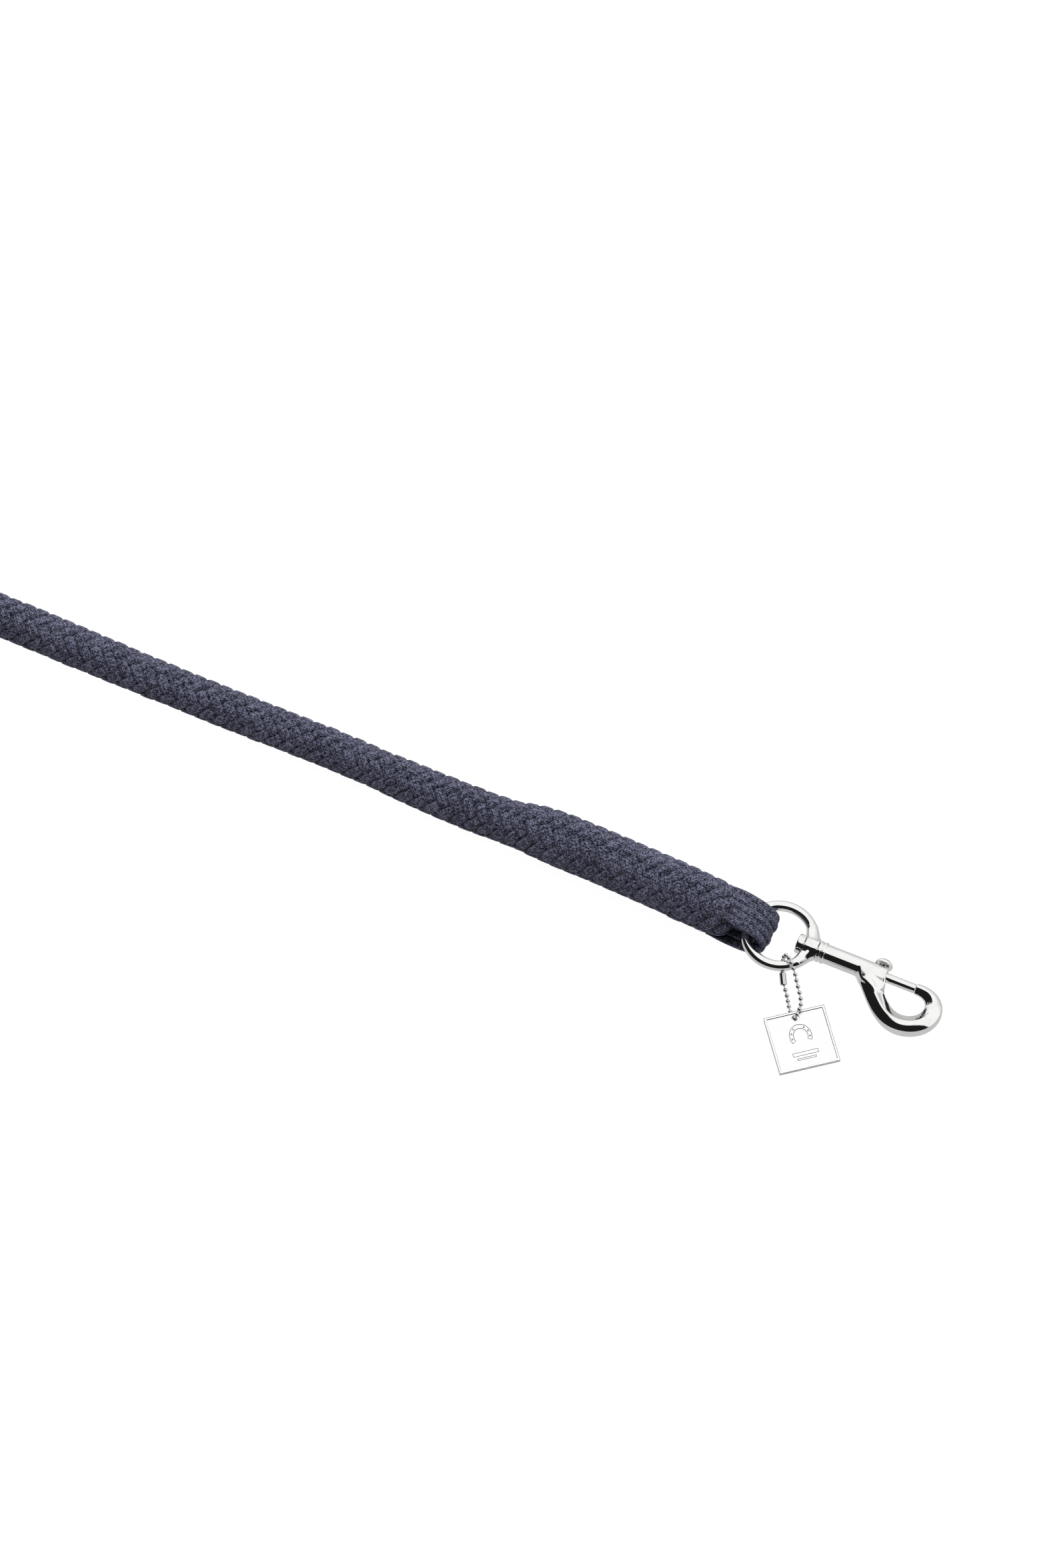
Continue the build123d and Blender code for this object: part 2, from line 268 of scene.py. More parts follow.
class Finish:
    """A surface finish that makes its own material once."""

    name = "finish"

    def material(self) -> bpy.types.Material:
        """The finish's material, made at its first use.

        Returns:
            The material.
        """
        found = bpy.data.materials.get(self.name)
        if found:
            return found
        made = bpy.data.materials.new(self.name)
        made.use_nodes = True
        graph = Graph(made.node_tree)
        shader = graph.node("ShaderNodeBsdfPrincipled")
        self.dress(graph, shader)
        graph.node("ShaderNodeOutputMaterial", None, {"Surface": shader.outputs[0]})
        return made

    def dress(self, graph: Graph, shader: bpy.types.Node) -> None:
        """Sets and links the shader's sockets.

        Args:
            graph: The material's graph.
            shader: Its Principled BSDF.
        """
        raise NotImplementedError

    @staticmethod
    def link(graph: Graph, shader: bpy.types.Node, sockets: dict[str, object]) -> None:
        """Links values to the shader's sockets, or sets them.

        Args:
            graph: The material's graph.
            shader: Its Principled BSDF.
            sockets: Values or links by socket name.
        """
        for name, given in sockets.items():
            if isinstance(given, Value):
                graph.tree.links.new(given.socket, shader.inputs[name])
            else:
                shader.inputs[name].default_value = given


@dataclass(frozen=True)
class KnittedCord(Finish):
    """Knitted polyester cord: rows of V-shaped stitches, read from each cord's own UV map, with
    painted shade in the hollows between stitches.
    """

    name: str = "knitted_cord"
    yarn: Colour = (0.270, 0.275, 0.395, 1.0)
    # painted shade: the dark colour given to the low hollows between stitches
    gap: Colour = (0.009, 0.010, 0.022, 1.0)
    tint: Colour = (0.7, 0.72, 1.0, 1.0)
    lean: float = 0.8
    relief: float = 0.0006
    patch_scale: float = 45.0
    wobble_scale: float = 420.0
    speck_scale: float = 620.0
    fibre_scale: float = 1400.0

    def dress(self, graph: Graph, shader: bpy.types.Node) -> None:
        """Draws the stitches in colour and bump; the colour paints shade into the low hollows
        between them.

        Args:
            graph: The material's graph.
            shader: Its Principled BSDF.
        """
        place = graph.out("ShaderNodeTexCoord", output="Object")
        knit = graph.out("ShaderNodeUVMap", {"uv_map": "knit"})
        split = graph.node("ShaderNodeSeparateXYZ", None, {0: knit})
        along, around = Value(graph, split.outputs[0]), Value(graph, split.outputs[1])
        wobble = graph.noise(place, self.wobble_scale) - 0.5
        leg = abs((around + wobble * 0.8).fraction() - 0.5) * 2.0
        stitch = (along + leg * self.lean + wobble * 1.3).fraction()
        ridge = 1.0 - abs(stitch * 2.0 - 1.0)
        body = (leg * math.pi).apply("SINE").apply("MAXIMUM", 0.0)
        height = (ridge ** 0.7) * (body ** 0.6)
        fibre = graph.noise(place, self.fibre_scale, 3.0)
        patch = graph.noise(place, self.patch_scale)
        speck = graph.noise(place, self.speck_scale, 1.0).between(0.38, 0.66)
        # colour follows stitch height, so the hollows take the dark gap colour as painted shade;
        # the fibre, speck and patch noises add real random tone
        share = height * 0.72 + (speck - 0.5) * 0.42 + (fibre - 0.5) * 0.5 + (patch - 0.5) * 0.3
        colour = graph.mix(share.apply("MAXIMUM", 0.0).apply("MINIMUM", 1.0), self.gap, self.yarn)
        bump = graph.out(
            "ShaderNodeBump",
            None,
            {"Strength": 0.8, "Distance": self.relief, "Height": height + fibre * 0.3},
        )
        self.link(
            graph,
            shader,
            {
                "Base Color": colour,
                "Roughness": 0.78 + fibre * 0.2,
                "Normal": bump,
                "Sheen Weight": 0.12,
                "Sheen Roughness": 0.5,
                "Sheen Tint": self.tint,
                "Specular IOR Level": 0.25,
            },
        )


@dataclass(frozen=True)
class PlatedMetal(Finish):
    """Plated metal: bright, a little uneven, with faint handling marks."""

    name: str = "polished_nickel"
    colour: Colour = (0.93, 0.925, 0.92, 1.0)
    shade: Colour = (0.80, 0.79, 0.78, 1.0)
    roughness: float = 0.05
    marks: float = 0.05
    ripple: float = 0.00002
    ripple_scale: float = 140.0
    metallic: float = 1.0
    marks_scale: float = 2600.0

    def dress(self, graph: Graph, shader: bpy.types.Node) -> None:
        """Sets the metal with slow ripples and fine marks.

        Args:
            graph: The material's graph.
            shader: Its Principled BSDF.
        """
        place = graph.out("ShaderNodeTexCoord", output="Object")
        slow = graph.noise(place, self.ripple_scale)
        fine = graph.noise(place, self.marks_scale, 4.0)
        bump = graph.out(
            "ShaderNodeBump", None, {"Strength": 0.5, "Distance": self.ripple, "Height": slow}
        )
        self.link(
            graph,
            shader,
            {
                "Base Color": graph.mix(slow.between(0.35, 0.7) * 0.35, self.colour, self.shade),
                "Roughness": fine.between(0.5, 0.8) * self.marks + self.roughness,
                "Metallic": self.metallic,
                "Normal": bump,
            },
        )


NICKEL = PlatedMetal()
CHAIN_METAL = PlatedMetal("chain_nickel", (0.80, 0.79, 0.80, 1.0), grey(0.55), 0.06, 0.06)
TAG_METAL = PlatedMetal(
    "satin_silver", (0.97, 0.97, 0.975, 1.0), grey(0.90), 0.24, 0.12, 0.000004, metallic=0.6
)
# painted shade: the outline ridges on the tag are coloured dark for the shade along the walls of
# its relief lines
TAG_LINE_SHADE = PlatedMetal("tag_line_painted_shade", (0.13, 0.125, 0.12, 1.0), grey(0.08), 0.35, 0.1, 0.000004)
# painted shade: a darker copy of the tag's metal for the faces that look sideways
TAG_SIDE_SHADE = PlatedMetal("tag_side_painted_shade", (0.62, 0.61, 0.60, 1.0), grey(0.45), 0.25, 0.1, 0.000004)
DRAWN_WIRE = PlatedMetal("drawn_wire", grey(0.55), grey(0.42), 0.3, 0.2)
CORD = KnittedCord()


# ------------------------------------------------------------------ meshes
def linked(name: str, data: bpy.types.ID) -> bpy.types.Object:
    """Links an object at the origin.

    Args:
        name: Its name.
        data: Its mesh, curve, camera or lamp.

    Returns:
        The object.
    """
    made = bpy.data.objects.new(name, data)
    bpy.context.scene.collection.objects.link(made)
    return made


def make_object(name: str, mesh: bpy.types.Mesh, finish: Finish) -> bpy.types.Object:
    """Links a mesh as an object at the origin.

    Args:
        name: The piece's name.
        mesh: Its mesh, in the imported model's frame.
        finish: Its finish.

    Returns:
        The object.
    """
    mesh.name = name
    mesh.materials.clear()
    mesh.materials.append(finish.material())
    return linked(name, mesh)


def make_mesh(
    vertices: np.ndarray, faces: Sequence[Sequence[int]], uvs: np.ndarray | None = None
) -> bpy.types.Mesh:
    """A smooth mesh from points and faces.

    Args:
        vertices: Points in metres.
        faces: Vertex numbers of each face.
        uvs: One UV pair for each face corner, in face order.

    Returns:
        The mesh.
    """
    mesh = bpy.data.meshes.new("piece")
    mesh.from_pydata(vertices.tolist(), [], [list(map(int, face)) for face in faces])
    if uvs is not None:
        layer = mesh.uv_layers.new(name="knit")
        layer.data.foreach_set("uv", uvs.astype(np.float32).ravel())
    mesh.shade_smooth()
    mesh.update()
    return mesh


def evaluated_mesh(piece: bpy.types.Object) -> bpy.types.Mesh:
    """The piece's mesh with its modifiers or bevel worked out.

    Args:
        piece: A mesh or curve object.

    Returns:
        A new plain mesh.
    """
    graph = bpy.context.evaluated_depsgraph_get()
    return bpy.data.meshes.new_from_object(piece.evaluated_get(graph), depsgraph=graph)


SHARP_FROM = 50.0


def lathe(profile: Outline, sides: int, place: Matrix) -> bpy.types.Mesh:
    """Turns a profile about the X axis of a placed frame; its ends close on the axis.

    Args:
        profile: (along, radius) pairs in millimetres, from a closed end to a closed end.
        sides: Faces round the axis.
        place: Where the frame goes, in metres.

    Returns:
        The mesh.
    """
    points, rings = [], []
    for along, radius in profile:
        if radius == 0:
            rings.append([len(points)] * sides)
            points.append((along, 0.0, 0.0))
            continue
        rings.append(list(range(len(points), len(points) + sides)))
        for step in range(sides):
            turn = 2 * math.pi * step / sides
            points.append((along, radius * math.cos(turn), radius * math.sin(turn)))
    faces = []
    for ring, after in zip(rings, rings[1:]):
        for step in range(sides):
            nearby = (step + 1) % sides
            corners = [ring[step], after[step], after[nearby], ring[nearby]]
            face = list(dict.fromkeys(corners))
            if len(face) > 2:
                faces.append(face)
    placed = np.array([place @ (Vector(point) * MM) for point in points])
    mesh = make_mesh(placed, faces)
    tidy_normals(mesh)
    mesh.set_sharp_from_angle(angle=math.radians(SHARP_FROM))
    return mesh


def tidy_normals(mesh: bpy.types.Mesh, merge: float = 0.0) -> None:
    """Merges doubles and turns all faces outwards.

    Args:
        mesh: The mesh to change.
        merge: Distance under which vertices merge, in metres.
    """
    work = bmesh.new()
    work.from_mesh(mesh)
    if merge:
        bmesh.ops.remove_doubles(work, verts=work.verts, dist=merge)
    bmesh.ops.recalc_face_normals(work, faces=work.faces)
    work.to_mesh(mesh)
    work.free()

def curve_object(
    name: str, kind: str, lines: Sequence[Sequence[Sequence[float]]], closed: bool
) -> bpy.types.Object:
    """A curve object with one spline for each line.

    Args:
        name: Its name.
        kind: The type of its splines.
        lines: The points of each spline, in metres.
        closed: Whether the splines run back to their starts.

    Returns:
        The object.
    """
    data = bpy.data.curves.new(name, "CURVE")
    data.dimensions = "3D"
    for line in lines:
        spline = data.splines.new(kind)
        spline.points.add(len(line) - 1)
        for point, place in zip(spline.points, line):
            point.co = (*place, 1.0)
        spline.use_cyclic_u = closed
    return linked(name, data)


class ShapeGraph(Graph):
    """A geometry tree with named inputs that ends in real geometry with one finish."""

    def __init__(self, name: str, source: str, sizes: dict[str, float]) -> None:
        """Makes the tree with its inputs and output.

        Args:
            name: The tree's name.
            source: Name of its geometry input.
            sizes: Its number inputs by name, with their values.
        """
        super().__init__(bpy.data.node_groups.new(name, "GeometryNodeTree"))
        self.sizes = sizes
        self._socket(source, "INPUT", "NodeSocketGeometry")
        for size in sizes:
            self._socket(size, "INPUT", "NodeSocketFloat")
        self._socket("Shape", "OUTPUT", "NodeSocketGeometry")
        self.given = self.node("NodeGroupInput").outputs

    def _socket(self, name: str, side: str, kind: str) -> None:
        """Adds one input or output to the tree."""
        self.tree.interface.new_socket(name=name, in_out=side, socket_type=kind)

    def join(self, *parts: Value) -> Value:
        """Joins geometries.

        Args:
            parts: The geometries.

        Returns:
            All of them as one.
        """
        made = self.node("GeometryNodeJoinGeometry")
        for part in parts:
            self.tree.links.new(part.socket, made.inputs[0])
        return Value(self, made.outputs[0])

    def wire(self, line: object, sides: int, radius: object, caps: bool = False) -> Value:
        """Runs a round wire along a line.

        Args:
            line: The line's value or socket.
            sides: Faces round the wire.
            radius: Its radius or the socket that gives it.
            caps: Whether its ends are closed.

        Returns:
            The wire.
        """
        size = {"Resolution": sides, "Radius": radius}
        circle = self.out("GeometryNodeCurvePrimitiveCircle", None, size)
        sweep = {"Curve": line, "Profile Curve": circle, "Fill Caps": caps}
        return self.out("GeometryNodeCurveToMesh", None, sweep)

    def grow(self, carrier: bpy.types.Object, shape: Value, finish: Finish) -> bpy.types.Mesh:
        """Ends the tree, runs it on a carrier and keeps the result as a plain mesh.

        Args:
            carrier: The object that gives the source geometry; it is removed.
            shape: What the tree has made.
            finish: Its finish.

        Returns:
            The mesh.
        """
        real = self.out("GeometryNodeRealizeInstances", None, {0: shape})
        dressing = {"Geometry": real, "Material": finish.material()}
        dressed = self.out("GeometryNodeSetMaterial", None, dressing)
        self.node("NodeGroupOutput", None, {0: dressed})
        modifier = carrier.modifiers.new(self.tree.name, "NODES")
        modifier.node_group = self.tree
        sockets = {item.name: item.identifier for item in self.tree.interface.items_tree}
        for name, size in self.sizes.items():
            modifier[sockets[name]] = size
        mesh = evaluated_mesh(carrier)
        carrier.modifiers.remove(modifier)
        bpy.data.objects.remove(carrier)
        return mesh
# ------------------------------------------------------------------ distance fields
def blend_union(first: np.ndarray, second: np.ndarray, round_by: float) -> np.ndarray:
    """Joins two shapes with a fillet.

    Args:
        first: Distances to one shape.
        second: Distances to the other.
        round_by: Size of the fillet.

    Returns:
        Distances to the joined shape.
    """
    share = np.clip(0.5 + 0.5 * (second - first) / round_by, 0, 1)
    return second + (first - second) * share - round_by * share * (1 - share)


def blend_cut(shape: np.ndarray, tool: np.ndarray, round_by: float) -> np.ndarray:
    """Cuts a tool out of a shape with a rounded edge.

    Args:
        shape: Distances to the shape.
        tool: Distances to the tool.
        round_by: Size of the rounding.

    Returns:
        Distances to what is left.
    """
    return -blend_union(-shape, tool, round_by)


def rod(points: np.ndarray, radius: float, start: float, end: float, edge: float) -> np.ndarray:
    """Distances to a cylinder along X.

    Args:
        points: Points in the snap's frame.
        radius: Its radius.
        start: X of one end.
        end: X of the other.
        edge: Rounding of its rims.

    Returns:
        The distances.
    """
    out = np.hypot(points[:, 1], points[:, 2]) - radius + edge
    along = np.abs(points[:, 0] - (start + end) / 2) - (end - start) / 2 + edge
    outside = np.hypot(np.maximum(out, 0), np.maximum(along, 0))
    return outside + np.minimum(np.maximum(out, along), 0) - edge


PULLS = 4


def surface_net(
    field: Field, low: Sequence[float], high: Sequence[float], step: float
) -> tuple[np.ndarray, np.ndarray]:
    """Covers a field's zero surface with quads and pulls their corners onto it.

    Args:
        field: Distances for an array of points.
        low: Lowest corner of the space to search.
        high: Highest corner.
        step: Size of the quads.

    Returns:
        Vertices, and faces of four vertex numbers.
    """
    axes = [np.arange(a, b + step, step) for a, b in zip(low, high)]
    grid = np.stack(np.meshgrid(*axes, indexing="ij"), axis=-1)
    values = field(grid.reshape(-1, 3)).reshape(grid.shape[:3])
    inside = values < 0
    cells = np.array(values.shape) - 1

    def corner(source: np.ndarray, offset: Sequence[int]) -> np.ndarray:
        """The source at one corner of every cell."""
        return source[tuple(slice(o, o + n) for o, n in zip(offset, cells))]

    offsets = [(i, j, k) for i in (0, 1) for j in (0, 1) for k in (0, 1)]
    filled = sum(corner(inside, offset).astype(int) for offset in offsets)
    active = (filled > 0) & (filled < 8)
    number = np.full(cells, -1)
    number[active] = np.arange(active.sum())
    total, weight = np.zeros((active.sum(), 3)), np.zeros(active.sum())
    for offset in offsets:
        for axis in range(3):
            if offset[axis]:
                continue
            far = tuple(o + (a == axis) for a, o in enumerate(offset))
            here, there = corner(values, offset)[active], corner(values, far)[active]
            crossing = (here < 0) != (there < 0)
            share = np.where(crossing, here / np.where(crossing, here - there, 1), 0)
            point = np.tile(np.array(offset, float), (len(share), 1))
            point[:, axis] += share
            total += point * crossing[:, None]
            weight += crossing
    vertices = (np.argwhere(active) + total / weight[:, None]) * step + np.array(low)
    faces = []
    for axis in range(3):
        first, second = [a for a in range(3) if a != axis]
        if axis == 1:
            first, second = second, first
        moved = np.roll(inside, -1, axis)
        change = inside != moved
        keep = np.zeros_like(change)
        window = [slice(0, -1)] * 3
        window[first] = window[second] = slice(1, -1)
        keep[tuple(window)] = True
        edges = np.argwhere(change & keep)
        ring = []
        for a, b in ((-1, -1), (0, -1), (0, 0), (-1, 0)):
            cell = edges.copy()
            cell[:, first] += a
            cell[:, second] += b
            ring.append(number[tuple(cell.T)])
        quads = np.stack(ring, axis=1)
        flip = ~inside[tuple(edges.T)]
        quads[flip] = quads[flip][:, ::-1]
        faces.append(quads)
    for _ in range(PULLS):
        vertices -= pull(field, vertices, step)
    return vertices, np.concatenate(faces)


def pull(field: Field, points: np.ndarray, step: float) -> np.ndarray:
    """The move that takes each point to the field's zero surface.

    Args:
        field: Distances for an array of points.
        points: The points.
        step: The longest move allowed is a third of this.

    Returns:
        The moves to subtract.
    """
    slope = slopes(field, points)
    here = field(points)
    move = here / np.maximum((slope**2).sum(1), 0.05)
    return slope * np.clip(move, -step / 3, step / 3)[:, None]


def slopes(field: Field, points: np.ndarray) -> np.ndarray:
    """The field's slope at each point.

    Args:
        field: Distances for an array of points.
        points: The points.

    Returns:
        Three slopes for each point.
    """
    reach = 0.02
    parts = []
    for axis in range(3):
        shift = np.zeros(3)
        shift[axis] = reach
        parts.append((field(points + shift) - field(points - shift)) / (2 * reach))
    return np.stack(parts, axis=1)


def cast_mesh(
    field: Field, low: Sequence[float], high: Sequence[float], step: float, place: Matrix
) -> bpy.types.Mesh:
    """The mesh of a distance field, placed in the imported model's frame.

    Args:
        field: Distances for an array of points, in millimetres.
        low: Lowest corner of the space to search.
        high: Highest corner.
        step: Size of the quads.
        place: The snap frame's place, in metres.

    Returns:
        The mesh, with its normals taken from the field.
    """
    vertices, faces = surface_net(field, low, high, step)
    normals = slopes(field, vertices)
    normals /= np.linalg.norm(normals, axis=1)[:, None]
    turn = np.array(place.to_3x3())
    placed = vertices * MM @ turn.T + np.array(place.translation)
    mesh = make_mesh(placed, faces)
    mesh.normals_split_custom_set_from_vertices((normals @ turn.T).tolist())
    return mesh


# ------------------------------------------------------------------ the rope
ROUTE = (
    (-0.0620, 0.0257, 0.0139),
    (-0.0700, 0.0262, 0.0139),
    (-0.1180, 0.0308, 0.0139),
    (-0.1760, 0.0340, 0.0139),
    (-0.1920, 0.0344, 0.0100),
    (-0.2340, 0.0354, 0.0100),
    (-0.2880, 0.0398, 0.0100),
    (-0.3500, 0.0414, 0.0100),
    (-0.4200, 0.0446, 0.0100),
    (-0.4900, 0.0484, 0.0100),
    (-0.5560, 0.0508, 0.0100),
)


class Lay(Enum):
    """The two ways that the plait's cords run round the rope."""

    LEFT = -1
    RIGHT = 1


@dataclass
class RopeRoute:
    """The rope's line: the laid-out stretch, two flat turns and the thick end inside them."""

    centre: tuple[float, float] = (-590.0, -76.0)
    outer_turn: float = 125.0
    pitch: float = 22.0
    turns: int = 2
    points_a_turn: int = 16
    end_radius: float = 57.9
    end_length: float = 75.0
    end_height: float = 13.9
    lying_height: float = 10.0

    def controls(self) -> list[tuple[float, float, float]]:
        """The spline's control points: the route's own, then the coil's by rule.

        Returns:
            Points in metres.
        """
        points = list(ROUTE)
        quarter = self.points_a_turn // 4
        wound = self.turns * self.points_a_turn
        step = 2 * math.pi / self.points_a_turn
        for number in range(wound + 1):
            radius = self.outer_turn - self.pitch * number / self.points_a_turn
            points.append(self._at(radius, math.pi / 2 + number * step, self.lying_height))
        last = self.outer_turn - self.pitch * self.turns
        for number in range(1, quarter + 1):
            share = number / quarter
            smooth = share * share * (3 - 2 * share)
            radius = last + (self.end_radius - last) * smooth
            height = self.lying_height + (self.end_height - self.lying_height) * smooth
            points.append(self._at(radius, math.pi / 2 + number * step, height))
        sweep = self.end_length / self.end_radius
        for number in range(1, quarter + 1):
            turn = math.pi + sweep * number / quarter
            points.append(self._at(self.end_radius, turn, self.end_height))
        return points

    def _at(self, radius: float, turn: float, height: float) -> tuple[float, float, float]:
        """A point of the coil.

        Args:
            radius: Distance from the coil's middle, in millimetres.
            turn: Angle from X, in radians.
            height: Height of the rope's middle, in millimetres.

        Returns:
            The point in metres.
        """
        return (
            (self.centre[0] + radius * math.cos(turn)) * MM,
            (self.centre[1] + radius * math.sin(turn)) * MM,
            height * MM,
        )

    def line(self) -> np.ndarray:
        """The smooth line that the cords follow, from the spline itself.

        Returns:
            Points in millimetres, close together.
        """
        carrier = curve_object("rope_line", "NURBS", [self.controls()], closed=False)
        spline = carrier.data.splines[0]
        spline.order_u = 3
        spline.use_endpoint_u = True
        spline.resolution_u = 16
        mesh = evaluated_mesh(carrier)
        found = np.array([vertex.co for vertex in mesh.vertices]) / MM
        bpy.data.objects.remove(carrier)
        bpy.data.meshes.remove(mesh)
        return found


@dataclass
class Plait:
    """Sixteen knitted cords, eight each way, over two and under two, round a hollow middle."""

    cords_each_way: int = 8
    lead: float = 61.3
    column_phase: float = -20.55
    float_phase: float = -31.8
    thickness: float = 3.5
    dive: float = 3.1
    sides: int = 8
    fine_step: float = 0.8
    coarse_step: float = 1.65
    fine_until: float = 445.0
    flat_top: float = 1.45
    uneven_every: int = 12
    uneven_by: float = 0.12
    least_reach: float = 1.2
    full_radius: float = 9.0
    seed: int = 11

    RADII = (
        (0, 8.0),
        (1.5, 10.4),
        (4, 12.8),
        (8, 14.2),
        (16, 14.7),
        (30, 14.7),
        (44, 14.6),
        (100, 14.5),
        (114, 13.8),
        (128, 12.0),
        (190, 11.3),
        (205, 10.6),
        (330, 10.7),
        (380, 11.1),
        (470, 11.1),
        (520, 10.1),
    )
    END_RADII = ((92, 10.1), (76, 13.7), (11, 13.7), (7, 12.6), (4, 10.4), (2, 7.2), (0, 2.6))

    def __post_init__(self) -> None:
        """Reads the rope's line once and sets the stations along it."""
        line = RopeRoute().line()
        gaps = np.linalg.norm(np.diff(line, axis=0), axis=1)
        keep = np.concatenate([[True], gaps > 1e-6])
        line, gaps = line[keep], gaps[gaps > 1e-6]
        self.along = np.concatenate([[0], np.cumsum(gaps)])
        self.line = line
        self.length = float(self.along[-1])
        fine = np.arange(0, self.fine_until, self.fine_step)
        coarse = np.arange(self.fine_until, self.length, self.coarse_step)
        self.stations = np.concatenate([fine, coarse, [self.length]])
        self.centres = self.at(self.stations)
        ahead, behind = self.at(self.stations + 1.5), self.at(self.stations - 1.5)
        self.tangents = unit(ahead - behind)
        up = np.array([0.0, 0.0, 1.0])
        self.ups = unit(up - self.tangents * (self.tangents @ up)[:, None])
        self.sideways = np.cross(self.tangents, self.ups)

    def at(self, stations: np.ndarray) -> np.ndarray:
        """Points of the rope's line.

        Args:
            stations: Distances along it, in millimetres.

        Returns:
            The points in millimetres.
        """
        inside = np.clip(stations, 0, self.length)
        found = np.stack([np.interp(inside, self.along, c) for c in self.line.T], axis=1)
        before = np.minimum(stations, 0)[:, None] * unit(self.line[1:2] - self.line[:1])
        after = np.maximum(stations - self.length, 0)[:, None]
        return found + before + after * unit(self.line[-1:] - self.line[-2:-1])

    def outer_radius(self, stations: np.ndarray) -> np.ndarray:
        """The rope's outer radius: thick where its tail is inside it, closed at both ends.

        Args:
            stations: Distances along the rope.

        Returns:
            The radii in millimetres.
        """
        ends = [(self.length - before, radius) for before, radius in self.END_RADII]
        places, radii = zip(*self.RADII, *ends)
        return np.interp(stations, places, radii)

    def strand(self, lay: Lay, number: int, chance: np.random.Generator) -> tuple[np.ndarray, ...]:
        """One cord's middle line and its section along it.

        Args:
            lay: Which way it runs round the rope.
            number: Which of the cords it is.
            chance: Source of its small unevenness.

        Returns:
            Middles, outward directions, half widths and half thicknesses.
        """
        s = self.stations
        share = number / self.cords_each_way
        turn = lay.value * 2 * math.pi * s / self.lead + 2 * math.pi * share
        turn += math.radians(self.column_phase)
        wave = np.cos(4 * (turn - math.radians(self.float_phase))) * lay.value
        over = np.sin(np.clip(self.flat_top * wave, -1, 1) * math.pi / 2)
        slow = chance.normal(0, 1, len(s) // self.uneven_every + 2)
        uneven = np.interp(np.arange(len(s)), np.arange(len(slow)) * self.uneven_every, slow)
        outer = self.outer_radius(s)
        half = self.thickness / 2
        top = outer - half + self.uneven_by * (uneven - 1)
        reach = np.maximum(top - self.dive * (1 - over) / 2, self.least_reach)
        angle = np.arctan2(2 * math.pi * np.maximum(outer - half, 1), self.lead)
        spacing = self.lead / self.cords_each_way * np.sin(angle)
        crowd = np.clip(outer / self.full_radius, 0.35, 1.0)
        width = spacing * (0.50 + 0.035 * over) * crowd * (1 + 0.02 * uneven)
        thick = half * (1.0 + 0.06 * over) * crowd
        radial = self.ups * np.cos(turn)[:, None] + self.sideways * np.sin(turn)[:, None]
        return self.centres + radial * reach[:, None], radial, width, thick

    def mesh(self, lay: Lay) -> bpy.types.Mesh:
        """All cords of one lay.

        Args:
            lay: Which lay.

        Returns:
            The mesh in metres, with its knit UV map.
        """
        chance = np.random.default_rng(self.seed + lay.value)
        tubes = TubeSet(self.sides)
        for number in range(self.cords_each_way):
            tubes.add(*self.strand(lay, number, chance))
        return tubes.mesh()


def unit(vectors: np.ndarray) -> np.ndarray:
    """The vectors at length 1."""
    return vectors / np.maximum(np.linalg.norm(vectors, axis=1), 1e-9)[:, None]


class TubeSet:
    """Closed tubes of oval section with a knit UV map, gathered into one mesh."""

    STITCH_LENGTH = 1.55
    WALES = 8.0
    LOWEST = 0.12
    SQUARENESS = 0.85

    def __init__(self, sides: int) -> None:
        """Starts with no tube.

        Args:
            sides: Faces round each tube.
        """
        self.sides = sides
        self.points: list[np.ndarray] = []
        self.faces: list[np.ndarray] = []
        self.uvs: list[np.ndarray] = []
        self.caps: list[list[int]] = []
        self.count = 0

    def add(
        self, middles: np.ndarray, outward: np.ndarray, width: np.ndarray, thick: np.ndarray
    ) -> None:
        """Adds one tube.

        Args:
            middles: Its middle line.
            outward: The direction that its thickness is measured in, at each point.
            width: Half widths.
            thick: Half thicknesses.
        """
        rings, sides = len(middles), self.sides
        tangent = unit(np.gradient(middles, axis=0))
        normal = unit(outward - tangent * (outward * tangent).sum(1)[:, None])
        across = np.cross(tangent, normal)
        turn = 2 * math.pi * (np.arange(sides) + 0.5) / sides
        oval = [np.sign(c) * np.abs(c) ** self.SQUARENESS for c in (np.cos(turn), np.sin(turn))]
        ring = (
            middles[:, None]
            + across[:, None] * (oval[0][:, None] * width[:, None, None])
            + normal[:, None] * (oval[1][:, None] * thick[:, None, None])
        )
        self.points.append(ring.reshape(-1, 3))
        start = np.arange(rings - 1)[:, None] * sides
        a, b = start + np.arange(sides), start + (np.arange(sides) + 1) % sides
        quads = np.stack([a, b, b + sides, a + sides], axis=-1).reshape(-1, 4)
        self.faces.append(quads + self.count)
        steps = np.linalg.norm(np.diff(middles, axis=0), axis=1)
        u = np.concatenate([[0], np.cumsum(steps)])[:, None] / self.STITCH_LENGTH
        v = np.arange(sides + 1)[None] / sides * self.WALES
        corners = ((u[:-1], v[:, :-1]), (u[:-1], v[:, 1:]), (u[1:], v[:, 1:]), (u[1:], v[:, :-1]))
        uv = [np.stack(np.broadcast_arrays(*corner), -1) for corner in corners]
        self.uvs.append(np.stack(uv, axis=2).reshape(-1, 2))
        first = list(range(self.count, self.count + sides))
        self.caps += [first[::-1], [index + (rings - 1) * sides for index in first]]
        self.count += rings * sides

    def mesh(self) -> bpy.types.Mesh:
        """Everything added, as one mesh with no point below the lowest height.

        Returns:
            The mesh in metres.
        """
        points = np.concatenate(self.points)
        points[:, 2] = np.maximum(points[:, 2], self.LOWEST)
        faces = [*np.concatenate(self.faces).tolist(), *self.caps]
        cap_uvs = np.zeros((len(self.caps) * self.sides, 2))
        return make_mesh(points * MM, faces, np.concatenate([*self.uvs, cap_uvs]))


